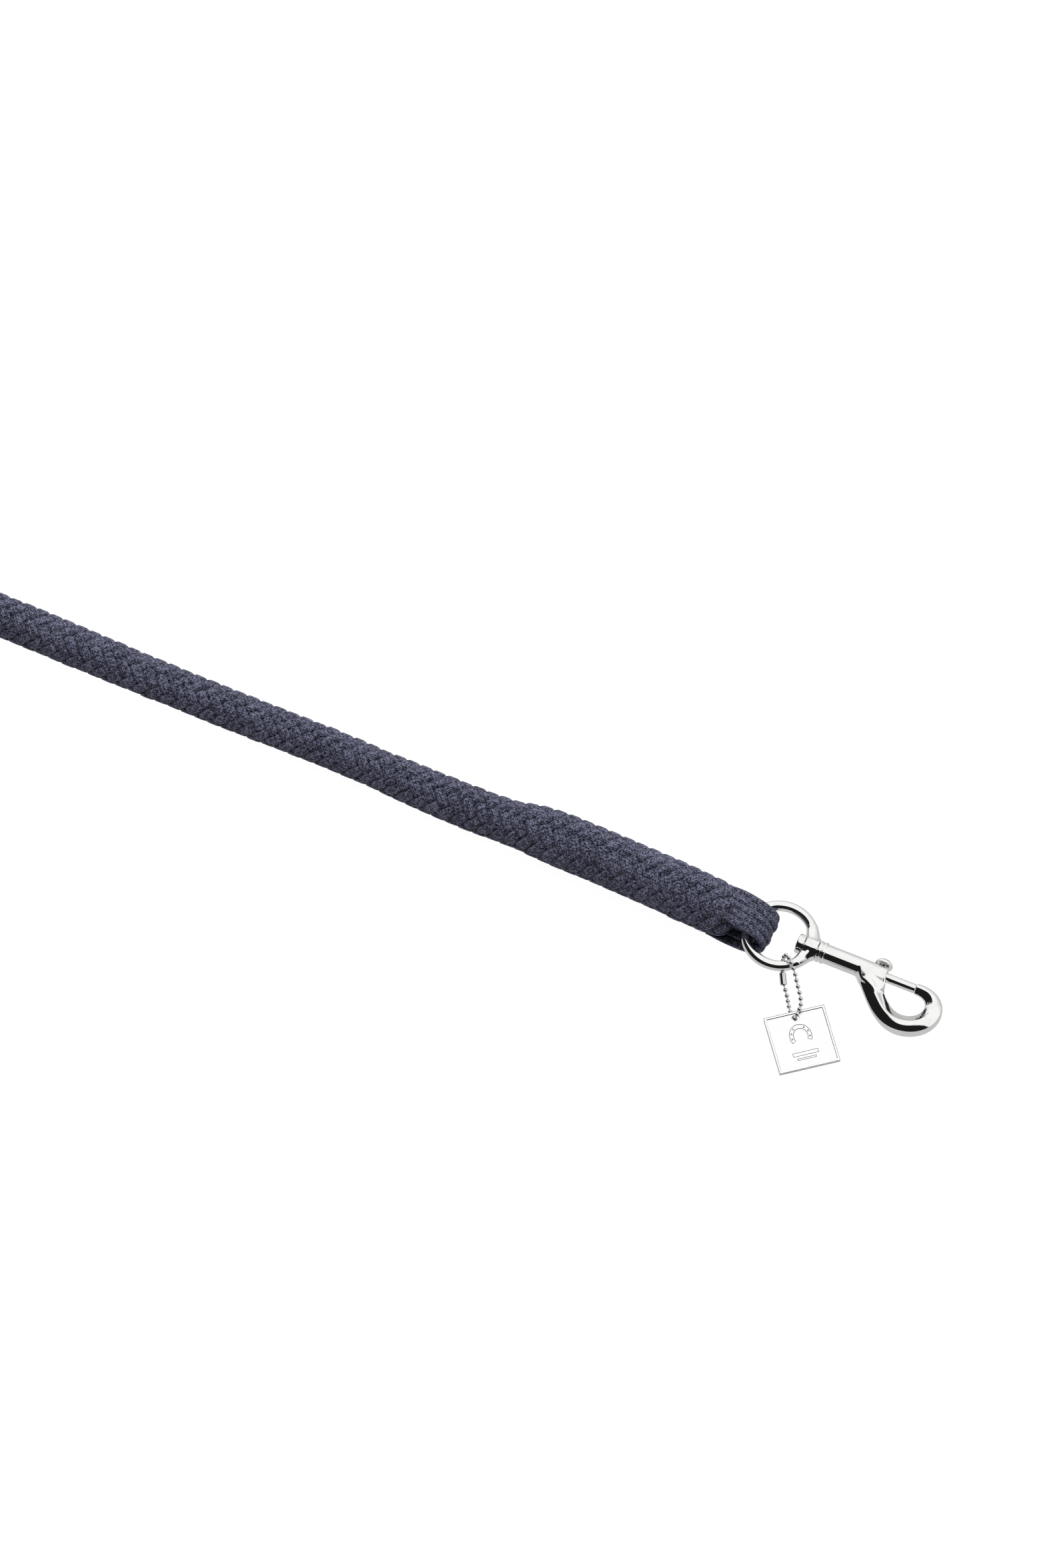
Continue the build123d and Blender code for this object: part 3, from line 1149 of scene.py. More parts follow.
@dataclass
class RopeLoop:
    """The plait's cords where they fold side by side over the ring's wire."""

    pivot: Vector
    outer_reach: float = 9.25
    nose_reach: float = 12.4
    outer_cords: int = 5
    outer_shift: float = 0.8
    cord_spacing: float = 4.2
    cord_width: float = 2.6
    cord_thickness: float = 2.1
    half_fold: float = 9.0
    inner_width: float = 2.0
    leg: float = 20.0
    slant: float = 0.10
    sides: int = 12
    steps: int = 64
    waves: float = 2.5

    INNER = ((-5.6, 5.8, 1.2), (-1.9, 5.1, 1.6), (1.9, 5.1, 1.6), (5.6, 5.8, 1.2))

    def build(self) -> bpy.types.Mesh:
        """The outer and inner layers of the fold.

        Returns:
            The mesh in metres.
        """
        tubes = TubeSet(self.sides)
        for number in range(self.outer_cords):
            offset = (number - (self.outer_cords - 1) / 2) * self.cord_spacing
            edge = (offset / self.half_fold) ** 2
            size = (self.cord_width, self.cord_thickness * (1 - 0.28 * edge))
            reach = self.outer_reach - 0.3 * edge
            self._outer(tubes, offset - self.outer_shift, reach, size)
        for offset, reach, thick in self.INNER:
            self._add(tubes, offset, (reach, reach), 0.0, (self.inner_width, thick), -0.4)
        return tubes.mesh()

    def _outer(
        self, tubes: TubeSet, offset: float, reach: float, size: tuple[float, float]
    ) -> None:
        """Adds one cord of the outer layer, whose nose stands out and whose start dips.

        Args:
            tubes: Where it is added.
            offset: Its place across the fold at the nose.
            reach: Its distance above and below the wire's middle.
            size: Its half width and half thickness.
        """
        nose = reach + (self.nose_reach - self.outer_reach)
        self._add(tubes, offset, (reach, nose), 0.13, size, 1.0)

    def _add(
        self,
        tubes: TubeSet,
        offset: float,
        reaches: tuple[float, float],
        rise: float,
        size: tuple[float, float],
        lean: float,
    ) -> None:
        """Adds one folded cord.

        Args:
            tubes: Where it is added.
            offset: Its place across the fold at the nose.
            reaches: Its distances from the wire's middle, above it and in front of it.
            rise: How much its upper leg rises for each millimetre back.
            size: Its half width and half thickness.
            lean: Its share of the slant.
        """
        chance = np.random.default_rng(int(100 + offset * 10))
        reach, nose = reaches
        leg = self.leg
        bend = math.pi * (reach + nose) / 2
        total = 2 * leg + bend
        s = np.linspace(0, total, self.steps)
        turn = np.clip((s - leg) / bend, 0, 1) * math.pi
        behind = np.maximum(leg - s, 0) + np.maximum(s - leg - bend, 0)
        phase, side = chance.uniform(0, 6), chance.uniform(-0.35, 0.35)
        wave = np.sin(s / total * 2 * math.pi * self.waves + phase)
        x = (nose + 0.35 * wave) * np.sin(turn) - behind
        z = reach * np.cos(turn) + rise * np.maximum(leg - s, 0)
        slanted = self.slant * lean * np.maximum(leg + bend / 2 - s, 0)
        y = offset + side + slanted + wave * 0.3
        y *= 1 - 0.12 * np.clip(behind / leg, 0, 1)
        middles = np.stack([x, y, z], axis=1) + np.array(self.pivot) / MM
        outward = np.stack([np.sin(turn), 0 * s, np.cos(turn)], axis=1)
        squeeze = np.maximum(1 - 0.5 * np.clip(behind / leg, 0, 1) ** 2, 0.6)
        swell = (1 + 0.08 * wave) * squeeze
        tubes.add(middles, outward, size[0] * swell, size[1] * swell)


@dataclass
class Rope:
    """The rope: its plait in two lays and the folded loop."""

    frame: dict
    diameter: float = 20.0
    length: float = 2.0
    path_step: float = 4.0

    def build(self) -> None:
        swing = joint(self.frame, "ring_swing")
        plait = Plait()
        right = make_object("rope_plait_right", plait.mesh(Lay.RIGHT), CORD)
        left = make_object("rope_plait_left", plait.mesh(Lay.LEFT), CORD)
        loop = make_object("rope_loop", RopeLoop(Vector(swing["pos_m"])).build(), CORD)
        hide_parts("rope_run", "rope_coil", "rope_end", "rope_splice", "splice_tail")
        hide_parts("rope_eye")
        for piece in (right, left, loop):
            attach(piece, "rope")
            report(piece)
        stations = np.arange(0, plait.length + self.path_step, self.path_step)
        path = plait.at(np.minimum(stations, plait.length)) * MM
        log.info("rope line %.3f m", plait.length * MM)


def joint(frame: dict, name: str) -> dict:
    """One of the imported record's joints.

    Args:
        name: The joint's name.

    Returns:
        Its entry.
    """
    return next(entry for entry in frame["joints"] if entry["name"] == name)


def report(piece: bpy.types.Object) -> None:
    """Logs a piece's name and size."""
    log.info("%s: %d faces", piece.name, len(piece.data.polygons))


# ------------------------------------------------------------------ the snap
@dataclass
class Snap:
    """The swivel bolt snap: ring, rivet, cast hook, bolt and thumb knob."""

    frame: dict
    ring_radius: float = 17.6
    wire: float = 2.75
    boss_radius: float = 5.5
    boss_start: float = 14.0
    boss_end: float = 21.3
    shoulder_turn: float = 38.0
    shoulder_foot: float = 2.4
    shoulder_radius: float = 4.5
    shank: float = 2.5
    shank_end: float = 28.0
    turn_clearance: float = 0.06
    head_radius: float = 5.3
    head_start: float = 9.9
    head_end: float = 13.7
    barrel_radius: float = 5.1
    barrel_start: float = 21.6
    barrel_end: float = 59.2
    collar_radius: float = 5.7
    collar_width: float = 1.5
    collar_spacing: float = 2.4
    bolt_radius: float = 2.5
    bolt_start: float = 49.8
    bolt_end: float = 75.8
    tip_face: float = 76.1
    knob_x: float = 55.8
    knob_travel: float = 14.0
    knob_gap: float = 0.4
    knob_stem: float = 1.5
    knob_radius: float = 4.7
    knob_rim: float = 1.3
    knob_crown: float = 2.7
    slot_radius: float = 1.75
    spring_wire: float = 0.6
    spring_turns: int = 9
    hook_step: float = 0.32
    ring_step: float = 0.3

    RING_SPACE = ((-21.2, -21.2, -6.6), (22.2, 21.2, 6.6))
    HOOK_SPACE = ((21, -28.6, -6.2), (95, 6.4, 6.2))

    def __post_init__(self) -> None:
        """Places the snap's frame from the swivel joint."""
        swivel = joint(self.frame, "snap_swivel")
        along = Vector(swivel["axis"]).normalized()
        across = Vector((0, 1, 0))
        turn = Matrix((along, across, along.cross(across))).transposed()
        self.place = Matrix.Translation(swivel["pos_m"]) @ turn.to_4x4()
        self.bar = HookBar(self.tip_face)

    def ring_field(self, points: np.ndarray) -> np.ndarray:
        """Distances to the ring with its boss.

        Args:
            points: Points in the snap's frame.

        Returns:
            The distances.
        """
        flat = np.hypot(points[:, 0], points[:, 1]) - self.ring_radius
        ring = np.hypot(flat, points[:, 2]) - self.wire
        shape = blend_union(ring, self._boss(points), 2.0)
        for side in (1, -1):
            turn = math.radians(side * self.shoulder_turn)
            far = np.array([math.cos(turn), math.sin(turn), 0]) * self.ring_radius
            near = np.array([self.ring_radius, side * self.shoulder_foot, 0])
            run = far - near
            share = np.clip((points - near) @ run / (run @ run), 0, 1)
            thinner = self.wire - 0.1 - self.shoulder_radius
            reach = self.shoulder_radius + thinner * share
            shoulder = np.linalg.norm(points - near - share[:, None] * run, axis=1) - reach
            shape = blend_union(shape, shoulder, 1.2)
        pocket = rod(points, self.head_radius + 0.5, self.head_start - 8, self.boss_start, 0.1)
        shape = blend_cut(shape, pocket, 0.35)
        shape = blend_cut(shape, rod(points, 8.5, self.boss_end, self.boss_end + 8, 0.1), 0.5)
        bore = rod(points, self.shank + self.turn_clearance, 5, 26, 0.01)
        return blend_cut(shape, bore, 0.1)

    def _boss(self, points: np.ndarray) -> np.ndarray:
        """Distances to the eight-sided boss.

        Args:
            points: Points in the snap's frame.

        Returns:
            The distances.
        """
        flat = -np.full(len(points), 99.0)
        for number in range(4):
            turn = math.pi * number / 4
            side = points[:, 1] * math.cos(turn) + points[:, 2] * math.sin(turn)
            flat = -blend_union(-flat, -(np.abs(side) - self.boss_radius), 0.35)
        middle = (self.boss_start + self.boss_end) / 2
        ends = np.abs(points[:, 0] - middle) - (self.boss_end - self.boss_start) / 2 + 0.2
        return -blend_union(-flat, -ends, 0.8)

    def hook_field(self, points: np.ndarray) -> np.ndarray:
        """Distances to the barrel, collars and hook in one casting.

        Args:
            points: Points in the snap's frame.

        Returns:
            The distances.
        """
        barrel = rod(points, self.barrel_radius, self.barrel_start, self.barrel_end, 0.35)
        for number in range(2):
            start = self.barrel_start + number * self.collar_spacing
            collar = rod(points, self.collar_radius, start, start + self.collar_width, 0.3)
            barrel = blend_union(barrel, collar, 0.25)
        shape = blend_union(barrel, self.bar.field(points), 1.6)
        shape = blend_union(shape, self._web(points), 3.4)
        bore = rod(points, self.bolt_radius + 0.08, 30, self.barrel_end + 0.4, 0.01)
        shape = blend_cut(shape, bore, 0.15)
        clear = rod(points, self.bolt_radius + 0.3, self.barrel_end, self.tip_face, 0.01)
        shape = blend_cut(shape, clear, 0.15)
        low = self.knob_x - self.knob_travel
        along = points[:, 0] - np.clip(points[:, 0], low, self.knob_x)
        slot = np.maximum(np.hypot(along, points[:, 2]) - self.slot_radius, -points[:, 1])
        return blend_cut(shape, slot, 0.2)

    def _web(self, points: np.ndarray) -> np.ndarray:
        """Distances to the thinner web that fills the corner between barrel and bar.

        Args:
            points: Points in the snap's frame.

        Returns:
            The distances.
        """
        near, far = np.array([50.0, -4.0]), np.array([57.2, -6.0])
        run = far - near
        share = np.clip((points[:, :2] - near) @ run / (run @ run), 0, 1)
        flat = np.linalg.norm(points[:, :2] - near - share[:, None] * run, axis=1) - 3.4
        return -blend_union(-flat, 3.3 - np.abs(points[:, 2]), 1.2)

    def build(self) -> None:
        """Makes and dresses every piece of the snap."""
        ring = cast_mesh(self.ring_field, *self.RING_SPACE, self.ring_step, self.place)
        hook = cast_mesh(self.hook_field, *self.HOOK_SPACE, self.hook_step, self.place)
        knob_place = self.place @ Matrix.Translation((self.knob_x * MM, 0, 0))
        knob_place = knob_place @ Matrix.Rotation(math.pi / 2, 4, "Z")
        made = (
            ("snap_ring", ring, "ring", "swivel_eye"),
            ("snap_hook", hook, "snap", "hook_body"),
            ("snap_rivet", lathe(self.rivet_profile(), 96, self.place), "snap", "swivel_rivet"),
            ("snap_bolt", lathe(self.bolt_profile(), 80, self.place), "bolt", "bolt"),
            ("snap_knob", lathe(self.knob_profile(), 80, knob_place), "bolt", "thumb_knob"),
        )
        for name, mesh, body, node in made:
            piece = make_object(name, mesh, NICKEL)
            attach(piece, body)
            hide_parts(node)
            report(piece)
        self.build_spring()

    def build_spring(self) -> None:
        """Makes the coil spring behind the bolt as one fixed mesh; the real spring shortens as the
        bolt slides back.
        """
        there = self.place.inverted()
        packed = self.frame["nodes"]["bolt_spring"].data.vertices
        spots = np.array([there @ vertex.co for vertex in packed])
        low, high = spots.min(0), spots.max(0)
        length = high[0] - low[0]
        wire = self.spring_wire / 2 * MM
        sizes = {
            "Radius": float((high[1] - low[1]) / 2 - wire),
            "Length": float(length - 2 * wire),
            "Wire Radius": wire,
            "Turns": float(self.spring_turns),
        }
        graph = ShapeGraph("coil_spring", "Seat", sizes)
        given = graph.given
        helix = {
            "Resolution": 20,
            "Rotations": given["Turns"],
            "Start Radius": given["Radius"],
            "End Radius": given["Radius"],
            "Height": given["Length"],
        }
        spiral = graph.out("GeometryNodeCurveSpiral", None, helix)
        coil = graph.wire(spiral, 8, given["Wire Radius"], caps=True)
        seat = linked("spring_seat", bpy.data.meshes.new("spring_seat"))
        mesh = graph.grow(seat, coil, DRAWN_WIRE)
        start = Matrix.Translation((low[0] + wire, 0, 0))
        mesh.transform(self.place @ start @ Matrix.Rotation(math.pi / 2, 4, "Y"))
        tidy_normals(mesh)
        mesh.shade_smooth()
        piece = make_object("snap_spring", mesh, DRAWN_WIRE)
        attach(piece, "snap")
        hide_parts("bolt_spring")
        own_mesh(piece)
        report(piece)

    def rivet_profile(self) -> Outline:
        """The rivet's head and shank.

        Returns:
            (along, radius) pairs.
        """
        head = rounded_end(self.head_start, self.head_radius, 0.75, 1)
        back = rounded_end(self.head_end, self.head_radius, 0.6, -1)[::-1]
        neck, seat = (self.head_end, self.shank), (self.shank_end, self.shank)
        return [*head, *back[:-1], neck, seat, (self.shank_end, 0.0)]

    def bolt_profile(self) -> Outline:
        """The sliding pin.

        Returns:
            (along, radius) pairs.
        """
        tail = rounded_end(self.bolt_start, self.bolt_radius, 0.4, 1)
        nose = rounded_end(self.bolt_end, self.bolt_radius, 0.45, -1)[::-1]
        return [*tail, *nose]

    def knob_profile(self) -> Outline:
        """The domed thumb piece on its stem, from inside the bolt outwards.

        Returns:
            (along, radius) pairs.
        """
        base, radius, stem = self.barrel_radius + self.knob_gap, self.knob_radius, self.knob_stem
        points = [(-2.0, 0.0), (-2.0, stem), (base, stem), (base, radius - 0.35)]
        points += [(base + 0.1, radius - 0.1), (base + 0.35, radius)]
        points.append((base + self.knob_rim, radius))
        crown, steps = self.knob_crown, 14
        ball = (radius**2 + crown**2) / (2 * crown)
        for step in range(1, steps + 1):
            out = radius * (1 - step / steps)
            height = math.sqrt(ball**2 - out**2) - (ball - crown)
            points.append((base + self.knob_rim + height, out if step < steps else 0.0))
        return points


def rounded_end(place: float, radius: float, edge: float, facing: int) -> Outline:
    """A flat end with a rounded rim, for a lathe profile.

    Args:
        place: Where the end is, along the axis.
        radius: The radius behind the rim.
        edge: The rim's rounding.
        facing: 1 if the solid goes on towards +X, -1 if towards -X.

    Returns:
        (along, radius) pairs from the axis outwards.
    """
    points = [(place, 0.0), (place, radius - edge)]
    for step in range(1, 6):
        turn = math.pi / 2 * step / 5
        along = place + facing * edge * (1 - math.cos(turn))
        points.append((along, radius - edge + edge * math.sin(turn)))
    return points


class HookBar:
    """The hook's bar: a curved line in the snap's plane with a section that changes along it."""

    SECTIONS = (
        ((47.5, -1.5), 9.0, 8.0),
        ((56.6, -10.9), 10.4, 9.0),
        ((63.8, -18.2), 10.2, 9.8),
        ((72.6, -22.4), 10.6, 10.4),
        ((81.4, -21.0), 10.8, 10.4),
        ((87.6, -15.4), 10.6, 9.8),
        ((88.9, -8.0), 9.6, 8.6),
        ((85.2, -2.2), 7.6, 7.0),
        ((79.2, -0.1), 6.3, 6.2),
        ((76.1, 0.0), 6.0, 6.0),
    )
    SAMPLES = 300
    SQUARENESS = 3.0
    INNER_BEVEL = (0.50, 0.60, 0.62, 0.78, 0.5)
    FLANK_HEIGHT = 0.97

    def __init__(self, tip_face: float) -> None:
        """Works out the bar's line.

        Args:
            tip_face: X of the flat end that faces the bolt.
        """
        knots = np.array([(x, y, w / 2, t / 2) for (x, y), w, t in self.SECTIONS])
        knots[-1, 0] = tip_face
        fine = cubic_line(knots, 1200)
        steps = np.linalg.norm(np.diff(fine[:, :2], axis=0), axis=1)
        along = np.concatenate([[0], np.cumsum(steps)])
        even = np.linspace(0, along[-1], self.SAMPLES)
        self.table = np.stack([np.interp(even, along, c) for c in fine.T], axis=1)
        self.spacing = even[1]
        self.heading = unit(np.gradient(self.table[:, :2], axis=0))

    def field(self, points: np.ndarray) -> np.ndarray:
        """Distances to the bar.

        Args:
            points: Points in the snap's frame.

        Returns:
            The distances.
        """
        best = np.full(len(points), 1e9)
        nearest = np.zeros(len(points), int)
        for number, (x, y) in enumerate(self.table[:, :2]):
            gap = (points[:, 0] - x) ** 2 + (points[:, 1] - y) ** 2
            closer = gap < best
            best[closer] = gap[closer]
            nearest[closer] = number
        offset = points[:, :2] - self.table[nearest, :2]
        lead = (offset * self.heading[nearest]).sum(1)
        spot = nearest + lead / self.spacing
        inside = np.clip(spot, 0, self.SAMPLES - 1)
        numbers = np.arange(self.SAMPLES)
        x, y, half_width, half_thick = (np.interp(inside, numbers, c) for c in self.table.T)
        head_x, head_y = (np.interp(inside, numbers, c) for c in self.heading.T)
        dx, dy = points[:, 0] - x, points[:, 1] - y
        inward = -head_y * dx + head_x * dy
        high = np.abs(points[:, 2])
        power = self.SQUARENESS
        ratio = (np.abs(inward) / half_width) ** power + (high / half_thick) ** power
        body = (ratio ** (1 / power) - 1) * np.minimum(half_width, half_thick)
        across, up, slope_across, slope_up, edge = self.INNER_BEVEL
        bevel = (inward - across * half_width) * slope_across
        bevel += (high - up * half_thick) * slope_up
        body = -blend_union(-body, -bevel, edge)
        along = np.clip((inside / (self.SAMPLES - 1) - 0.28) / 0.24, 0, 1)
        start = 0.12 + 0.40 * along * along * (3 - 2 * along)
        flank = (-inward - start * half_width) * 0.61
        flank += (high - self.FLANK_HEIGHT * half_thick) * 0.79
        body = -blend_union(-body, -flank, 1.0)
        past = np.maximum((spot - (self.SAMPLES - 1)) * self.spacing, -spot * self.spacing)
        return -blend_union(-body, -past, 0.3)


def cubic_line(knots: np.ndarray, count: int) -> np.ndarray:
    """A natural cubic spline through rows of values.

    Args:
        knots: One row for each knot.
        count: How many rows are wanted.

    Returns:
        The rows along the spline.
    """
    gaps = np.linalg.norm(np.diff(knots[:, :2], axis=0), axis=1)
    t = np.concatenate([[0], np.cumsum(gaps)])
    size = len(t)
    matrix, right = np.eye(size), np.zeros((size, knots.shape[1]))
    for i in range(1, size - 1):
        before, after = t[i] - t[i - 1], t[i + 1] - t[i]
        matrix[i, i - 1 : i + 2] = before, 2 * (before + after), after
        right[i] = 6 * ((knots[i + 1] - knots[i]) / after - (knots[i] - knots[i - 1]) / before)
    bend = np.linalg.solve(matrix, right)
    where = np.linspace(0, t[-1], count)
    i = np.clip(np.searchsorted(t, where, "right") - 1, 0, size - 2)
    width = (t[i + 1] - t[i])[:, None]
    a, b = (t[i + 1] - where)[:, None] / width, (where - t[i])[:, None] / width
    cubic = ((a**3 - a) * bend[i] + (b**3 - b) * bend[i + 1]) * width**2 / 6
    return a * knots[i] + b * knots[i + 1] + cubic


# ------------------------------------------------------------------ chain and tag
@dataclass
class BallChain:
    """The ball chain: hollow balls and short wires repeated along a closed line."""

    frame: dict
    ball: float = 2.4
    wire: float = 0.6
    collar: float = 0.9
    collar_length: float = 1.03

    def centres(self) -> np.ndarray:
        """The middle of each ball, in order round the chain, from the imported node.

        Returns:
            Points in metres.
        """
        work = bmesh.new()
        work.from_mesh(self.frame["nodes"]["chain_beads"].data)
        bmesh.ops.remove_doubles(work, verts=work.verts, dist=0.002 * MM)
        found: list[np.ndarray] = []
        left = set(work.verts)
        for first in work.verts:
            if first not in left:
                continue
            left.remove(first)
            island, edge = [], [first]
            while edge:
                vertex = edge.pop()
                island.append(vertex.co[:])
                beside = {e.other_vert(vertex) for e in vertex.link_edges} & left
                left -= beside
                edge.extend(beside)
            corners = np.array(island)
            found.append((corners.min(0) + corners.max(0)) / 2)
        work.free()
        ordered = [found.pop(0)]
        while found:
            gaps = [np.linalg.norm(p - ordered[-1]) for p in found]
            ordered.append(found.pop(int(np.argmin(gaps))))
        return np.array(ordered)

    def mesh(self, centres: np.ndarray) -> bpy.types.Mesh:
        """Repeats balls and wires along the line through their middles.

        Args:
            centres: The middle of each ball, in metres.

        Returns:
            The mesh.
        """
        sizes = {
            "Ball Radius": self.ball / 2 * MM,
            "Wire Radius": self.wire / 2 * MM,
            "Collar Radius": self.collar / 2 * MM,
            "Collar Length": self.ball * self.collar_length * MM,
        }
        graph = ShapeGraph("ball_chain", "Line", sizes)
        given = graph.given
        vector = {"data_type": "FLOAT_VECTOR"}
        kept = graph.out(
            "GeometryNodeStoreNamedAttribute",
            {**vector, "domain": "POINT"},
            {
                "Geometry": given["Line"],
                "Name": "heading",
                "Value": graph.out("GeometryNodeInputTangent"),
            },
        )
        heading = graph.out("GeometryNodeInputNamedAttribute", vector, {"Name": "heading"})
        turned = graph.out("FunctionNodeAlignRotationToVector", {"axis": "Z"}, {"Vector": heading})
        spots = graph.out("GeometryNodeCurveToPoints", {"mode": "EVALUATED"}, {"Curve": kept})
        round_ball = {"Segments": 28, "Rings": 18, "Radius": given["Ball Radius"]}
        sphere = graph.out("GeometryNodeMeshUVSphere", None, round_ball)
        tube = {"Vertices": 20, "Side Segments": 1}
        tube |= {"Radius": given["Collar Radius"], "Depth": given["Collar Length"]}
        collar = graph.out("GeometryNodeMeshCylinder", None, tube)
        bead = {"Geometry": graph.join(collar, sphere)}
        smooth = graph.out("GeometryNodeSetShadeSmooth", None, bead)
        beads = {"Points": spots, "Instance": smooth, "Rotation": turned}
        placed = graph.out("GeometryNodeInstanceOnPoints", None, beads)
        wires = graph.wire(given["Line"], 10, given["Wire Radius"])
        carrier = curve_object("chain_line", "POLY", [centres], closed=True)
        return graph.grow(carrier, graph.join(wires, placed), CHAIN_METAL)

    def build(self) -> None:
        """Makes the chain and dresses its sleeve."""
        centres = self.centres()
        log.info("balls found: %d", len(centres))
        piece = make_object("ball_chain", self.mesh(centres), CHAIN_METAL)
        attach(piece, "chain")
        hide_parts("chain_beads", "chain_links")
        report(piece)
        sleeve = self.frame["nodes"]["chain_connector"].data
        sleeve.materials.clear()
        sleeve.materials.append(CHAIN_METAL.material())


def box(left: float, low: float, right: float, high: float) -> Outline:
    """The corners of a rectangle, in order round it."""
    return [(left, low), (right, low), (right, high), (left, high)]


@dataclass
class HangTag:
    """The square tag: rimmed plate with a horseshoe and two bars in thin raised outline."""

    frame: dict
    side: float = 32.5
    bevel: float = 0.14
    bevel_from: float = 40.0
    recess: float = 0.5
    line: float = 0.16
    rim: float = 1.1
    rim_lines: tuple[float, float] = (0.15, 0.1)
    rim_height: float = 0.44
    recess_height: float = 0.02
    shoe_middle: float = 2.2
    shoe_narrowing: float = 0.88
    nail_circle: float = 5.45
    nail_radius: float = 0.35

    SHOE = ((6.6, range(-30, 211, 8)), (4.3, range(210, -31, -8)))
    NAILS = (-10, 22, 54, 126, 158, 190)
    BARS = ((13.5, 1.9, -8.6), (10.0, 0.9, -11.0))

    def place(self) -> Matrix:
        """The plate's own frame: middle of its recess, X along its top edge and Z off its face.

        Returns:
            The frame in metres.
        """
        plate = self.frame["nodes"]["tag_plate"].data
        points = np.array([vertex.co for vertex in plate.vertices])
        middle = Vector(points.mean(0))
        areas: dict[tuple[float, ...], float] = {}
        for face in plate.polygons:
            key = tuple(round(c, 2) for c in face.normal)
            areas[key] = areas.get(key, 0.0) + face.area
        up = Vector(max((key for key in areas if key[2] > 0.9), key=lambda key: areas[key]))
        exact = [face.normal for face in plate.polygons if (face.normal - up).length < 0.02]
        up = sum(exact, Vector()).normalized()
        lowest = Vector(min(points, key=lambda point: point[1]))
        inwards = Vector(min(points, key=lambda point: point[0])) - lowest
        inwards = (inwards - up * inwards.dot(up)).normalized()
        axes = (inwards.cross(up).normalized(), inwards, up)
        spread = np.array([[(Vector(p) - middle).dot(axis) for axis in axes] for p in points])
        x, y = ((spread.max(0) + spread.min(0)) / 2)[:2]
        height = spread[:, 2].max() - self.recess * MM
        origin = middle + axes[0] * x + axes[1] * y + axes[2] * height
        return Matrix.Translation(origin) @ Matrix(axes).transposed().to_4x4()

    def _arc(self, radius: float, turns: Sequence[int]) -> Outline:
        """Points on an arc of the horseshoe.

        Args:
            radius: The arc's radius, before it is narrowed.
            turns: Angles in degrees.

        Returns:
            The points.
        """
        angles = [math.radians(turn) for turn in turns]
        return [
            (
                radius * math.cos(angle) * self.shoe_narrowing,
                self.shoe_middle + radius * math.sin(angle),
            )
            for angle in angles
        ]

    def outlines(self) -> list[Outline]:
        """The closed outlines of the horseshoe and the bars, in the plate's frame.

        Returns:
            Lists of points in millimetres.
        """
        outer = self.side / 2 - self.rim_lines[0]
        inner = self.side / 2 - self.rim - self.rim_lines[1]
        drawn = [[point for arc in self.SHOE for point in self._arc(*arc)]]
        drawn += [box(-half, -half, half, half) for half in (inner, outer)]
        for width, height, low in self.BARS:
            drawn.append(box(-width / 2, low, width / 2, low + height))
        for x, y in self._arc(self.nail_circle, self.NAILS):
            turns = np.linspace(0, 2 * math.pi, 9)[:-1]
            radius = self.nail_radius
            drawn.append([(x + radius * math.cos(t), y + radius * math.sin(t)) for t in turns])
        return drawn

    def _plate(self, up: Vector) -> bpy.types.Object:
        """The plate with its edges eased and its side faces painted darker as shade.

        Args:
            up: The way its face looks.

        Returns:
            The piece.
        """
        mesh = self.frame["nodes"]["tag_plate"].data.copy()
        tidy_normals(mesh, 0.00001)
        plate = make_object("tag", mesh, TAG_METAL)
        edge = plate.modifiers.new("edges", "BEVEL")
        edge.width = self.bevel * MM
        edge.segments = 2
        edge.limit_method = "ANGLE"
        edge.angle_limit = math.radians(self.bevel_from)
        finished = evaluated_mesh(plate)
        plate.modifiers.clear()
        plate.data = finished
        finished.shade_flat()
        finished.materials.append(TAG_SIDE_SHADE.material())
        for face in finished.polygons:
            # faces that look sideways take the darker finish, painted shade
            face.material_index = int(abs(face.normal.dot(up)) < 0.3)
        return plate

    def _drawing(self, place: Matrix) -> bpy.types.Object:
        """The raised drawing, a low ridge along each outline, coloured dark as painted shade.

        Args:
            place: The plate's frame.

        Returns:
            The piece.
        """
        lines = []
        for outline in self.outlines():
            line = []
            for x, y in outline:
                on_rim = max(abs(x), abs(y)) > self.side / 2 - self.rim
                raised = self.rim_height if on_rim else self.recess_height
                line.append(place @ Vector((x * MM, y * MM, raised * MM)))
            lines.append(line)
        graph = ShapeGraph("tag_ridge", "Outline", {"Ridge Radius": self.line * MM})
        ridge = graph.wire(graph.given["Outline"], 8, graph.given["Ridge Radius"])
        carrier = curve_object("tag_lines", "POLY", lines, closed=True)
        # the ridges take the dark finish, painted shade
        drawing = make_object("tag_drawing", graph.grow(carrier, ridge, TAG_LINE_SHADE), TAG_LINE_SHADE)
        drawing.data.shade_smooth()
        return drawing

    def build(self) -> None:
        """Makes the plate and the raised drawing on it."""
        place = self.place()
        plate, lines = self._plate(place.to_3x3().col[2]), self._drawing(place)
        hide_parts("tag_plate")
        for piece in (plate, lines):
            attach(piece, "tag")
            report(piece)


# ------------------------------------------------------------------ studio
class Surround(Enum):
    """The studio's surfaces."""

    TABLE = "table"
    REFLECTED = "reflected_table"
    BACKDROP = "backdrop"


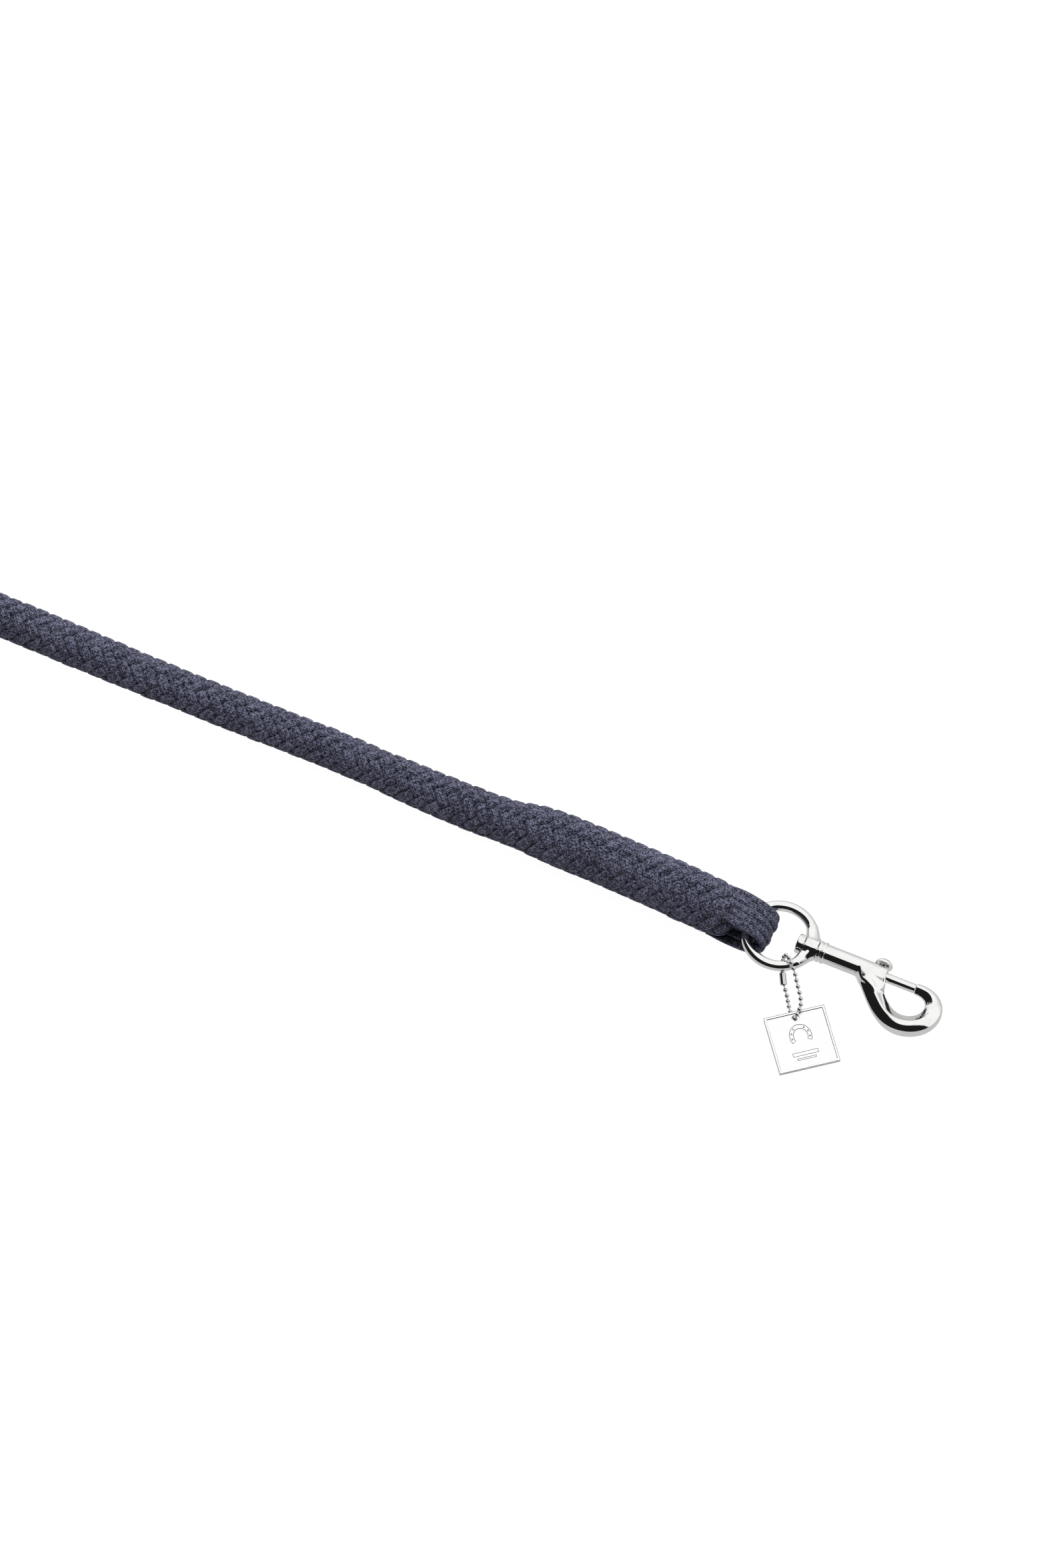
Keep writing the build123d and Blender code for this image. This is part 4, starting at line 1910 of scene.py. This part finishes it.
@dataclass
class Studio:
    """A white table in a white tent, dark only in front and low, with the camera above it."""

    azimuth: float = 22.5
    elevation: float = 60.0
    aim: tuple[float, float, float] = (-0.1859, 0.0373, 0.0497)
    distance: float = 8.0
    frame_height: float = 0.8114
    sensor: float = 36.0
    white: float = 1.05
    reflected: float = 0.58
    table_radius: float = 14.0
    backdrop_radius: float = 26.0
    dark_side: float = -12.5
    lamp_power: float = 46.0
    lamp_size: float = 1.6
    lamp_place: tuple[float, float, float] = (-0.7, 0.6, 2.2)
    lamp_aim: tuple[float, float, float] = (-0.55, 0.5, -2.2)

    def back(self) -> Vector:
        """The direction from the object to the camera.

        Returns:
            A unit vector.
        """
        a, e = math.radians(self.azimuth), math.radians(self.elevation)
        return Vector((math.sin(a) * math.cos(e), -math.cos(a) * math.cos(e), math.sin(e)))

    def camera(self) -> None:
        """Makes the camera."""
        data = bpy.data.cameras.new("camera")
        data.sensor_width = self.sensor
        data.lens = self.sensor * self.distance / self.frame_height
        data.clip_end = 60.0
        camera = linked("camera", data)
        camera.location = Vector(self.aim) + self.back() * self.distance
        camera.rotation_mode = "QUATERNION"
        camera.rotation_quaternion = (-self.back()).to_track_quat("-Z", "Y")
        bpy.context.scene.camera = camera

    def floor(self) -> None:
        """Makes the table and the backdrop that only the camera sees."""
        for kind in Surround:
            work = bmesh.new()
            if kind is Surround.BACKDROP:
                bmesh.ops.create_icosphere(work, subdivisions=4, radius=self.backdrop_radius)
            else:
                radius = self.table_radius
                bmesh.ops.create_circle(work, cap_ends=True, segments=96, radius=radius)
            if kind is Surround.REFLECTED:
                bmesh.ops.translate(work, verts=work.verts, vec=(0, 0, -0.05 * MM))
            mesh = bpy.data.meshes.new(kind.value)
            work.to_mesh(mesh)
            work.free()
            material = bpy.data.materials.new(kind.value)
            material.use_nodes = True
            graph = Graph(material.node_tree)
            level = self.reflected if kind is Surround.REFLECTED else self.white
            shader = graph.out("ShaderNodeEmission", None, {"Color": grey(1.0), "Strength": level})
            if kind is Surround.TABLE:
                matt = graph.out("ShaderNodeBsdfDiffuse", None, {"Color": grey(0.8)})
                shader = graph.out("ShaderNodeMixShader", None, {0: 0.94, 1: matt, 2: shader})
            graph.node("ShaderNodeOutputMaterial", None, {"Surface": shader})
            mesh.materials.append(material)
            stage = linked(kind.value, mesh)
            seen = kind is not Surround.REFLECTED
            stage.visible_camera = seen
            stage.visible_glossy = not seen
            stage.visible_diffuse = kind is Surround.TABLE
            stage.visible_shadow = stage.visible_transmission = False

    def tent(self) -> None:
        """Makes the surroundings that the metal reflects."""
        world = bpy.data.worlds.new("tent")
        bpy.context.scene.world = world
        world.use_nodes = True
        graph = Graph(world.node_tree)
        view = graph.out("ShaderNodeTexCoord", output="Generated")
        split = graph.node("ShaderNodeSeparateXYZ", None, {0: view})
        x, y, z = (Value(graph, socket) for socket in split.outputs)
        turn = math.radians(self.dark_side)
        facing = x * math.sin(turn) - y * math.cos(turn)
        dark = (1.0 - z.between(0.93, 0.97)) * facing.between(-0.02, 0.1)
        rear = facing.between(-1.05, -0.75)
        tent = graph.mix(rear, grey(0.72), grey(1.0))
        level = graph.mix(dark, tent, grey(0.012))
        sky = graph.out("ShaderNodeBackground", None, {"Color": level, "Strength": 1.0})
        graph.node("ShaderNodeOutputWorld", None, {"Surface": sky})

    def lights(self) -> None:
        """Makes the soft lamp over the table."""
        data = bpy.data.lights.new("soft_lamp", "AREA")
        data.shape = "DISK"
        data.size = self.lamp_size
        data.energy = self.lamp_power
        lamp = linked("soft_lamp", data)
        lamp.location = self.lamp_place
        lamp.visible_glossy = False
        lamp.rotation_mode = "QUATERNION"
        lamp.rotation_quaternion = Vector(self.lamp_aim).to_track_quat("-Z", "Y")

    def build(self) -> None:
        """Makes the camera, table, surroundings and lamp."""
        self.camera()
        self.floor()
        self.tent()
        self.lights()
        scene = bpy.context.scene
        scene.view_settings.view_transform = "Standard"
        scene.view_settings.look = "None"


def main() -> None:
    """Builds every class in order."""
    logging.basicConfig(level=logging.INFO, format="%(message)s")
    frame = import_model()
    Studio().build()
    Rope(frame).build()
    Snap(frame).build()
    BallChain(frame).build()
    HangTag(frame).build()


if __name__ == "__main__":
    main()
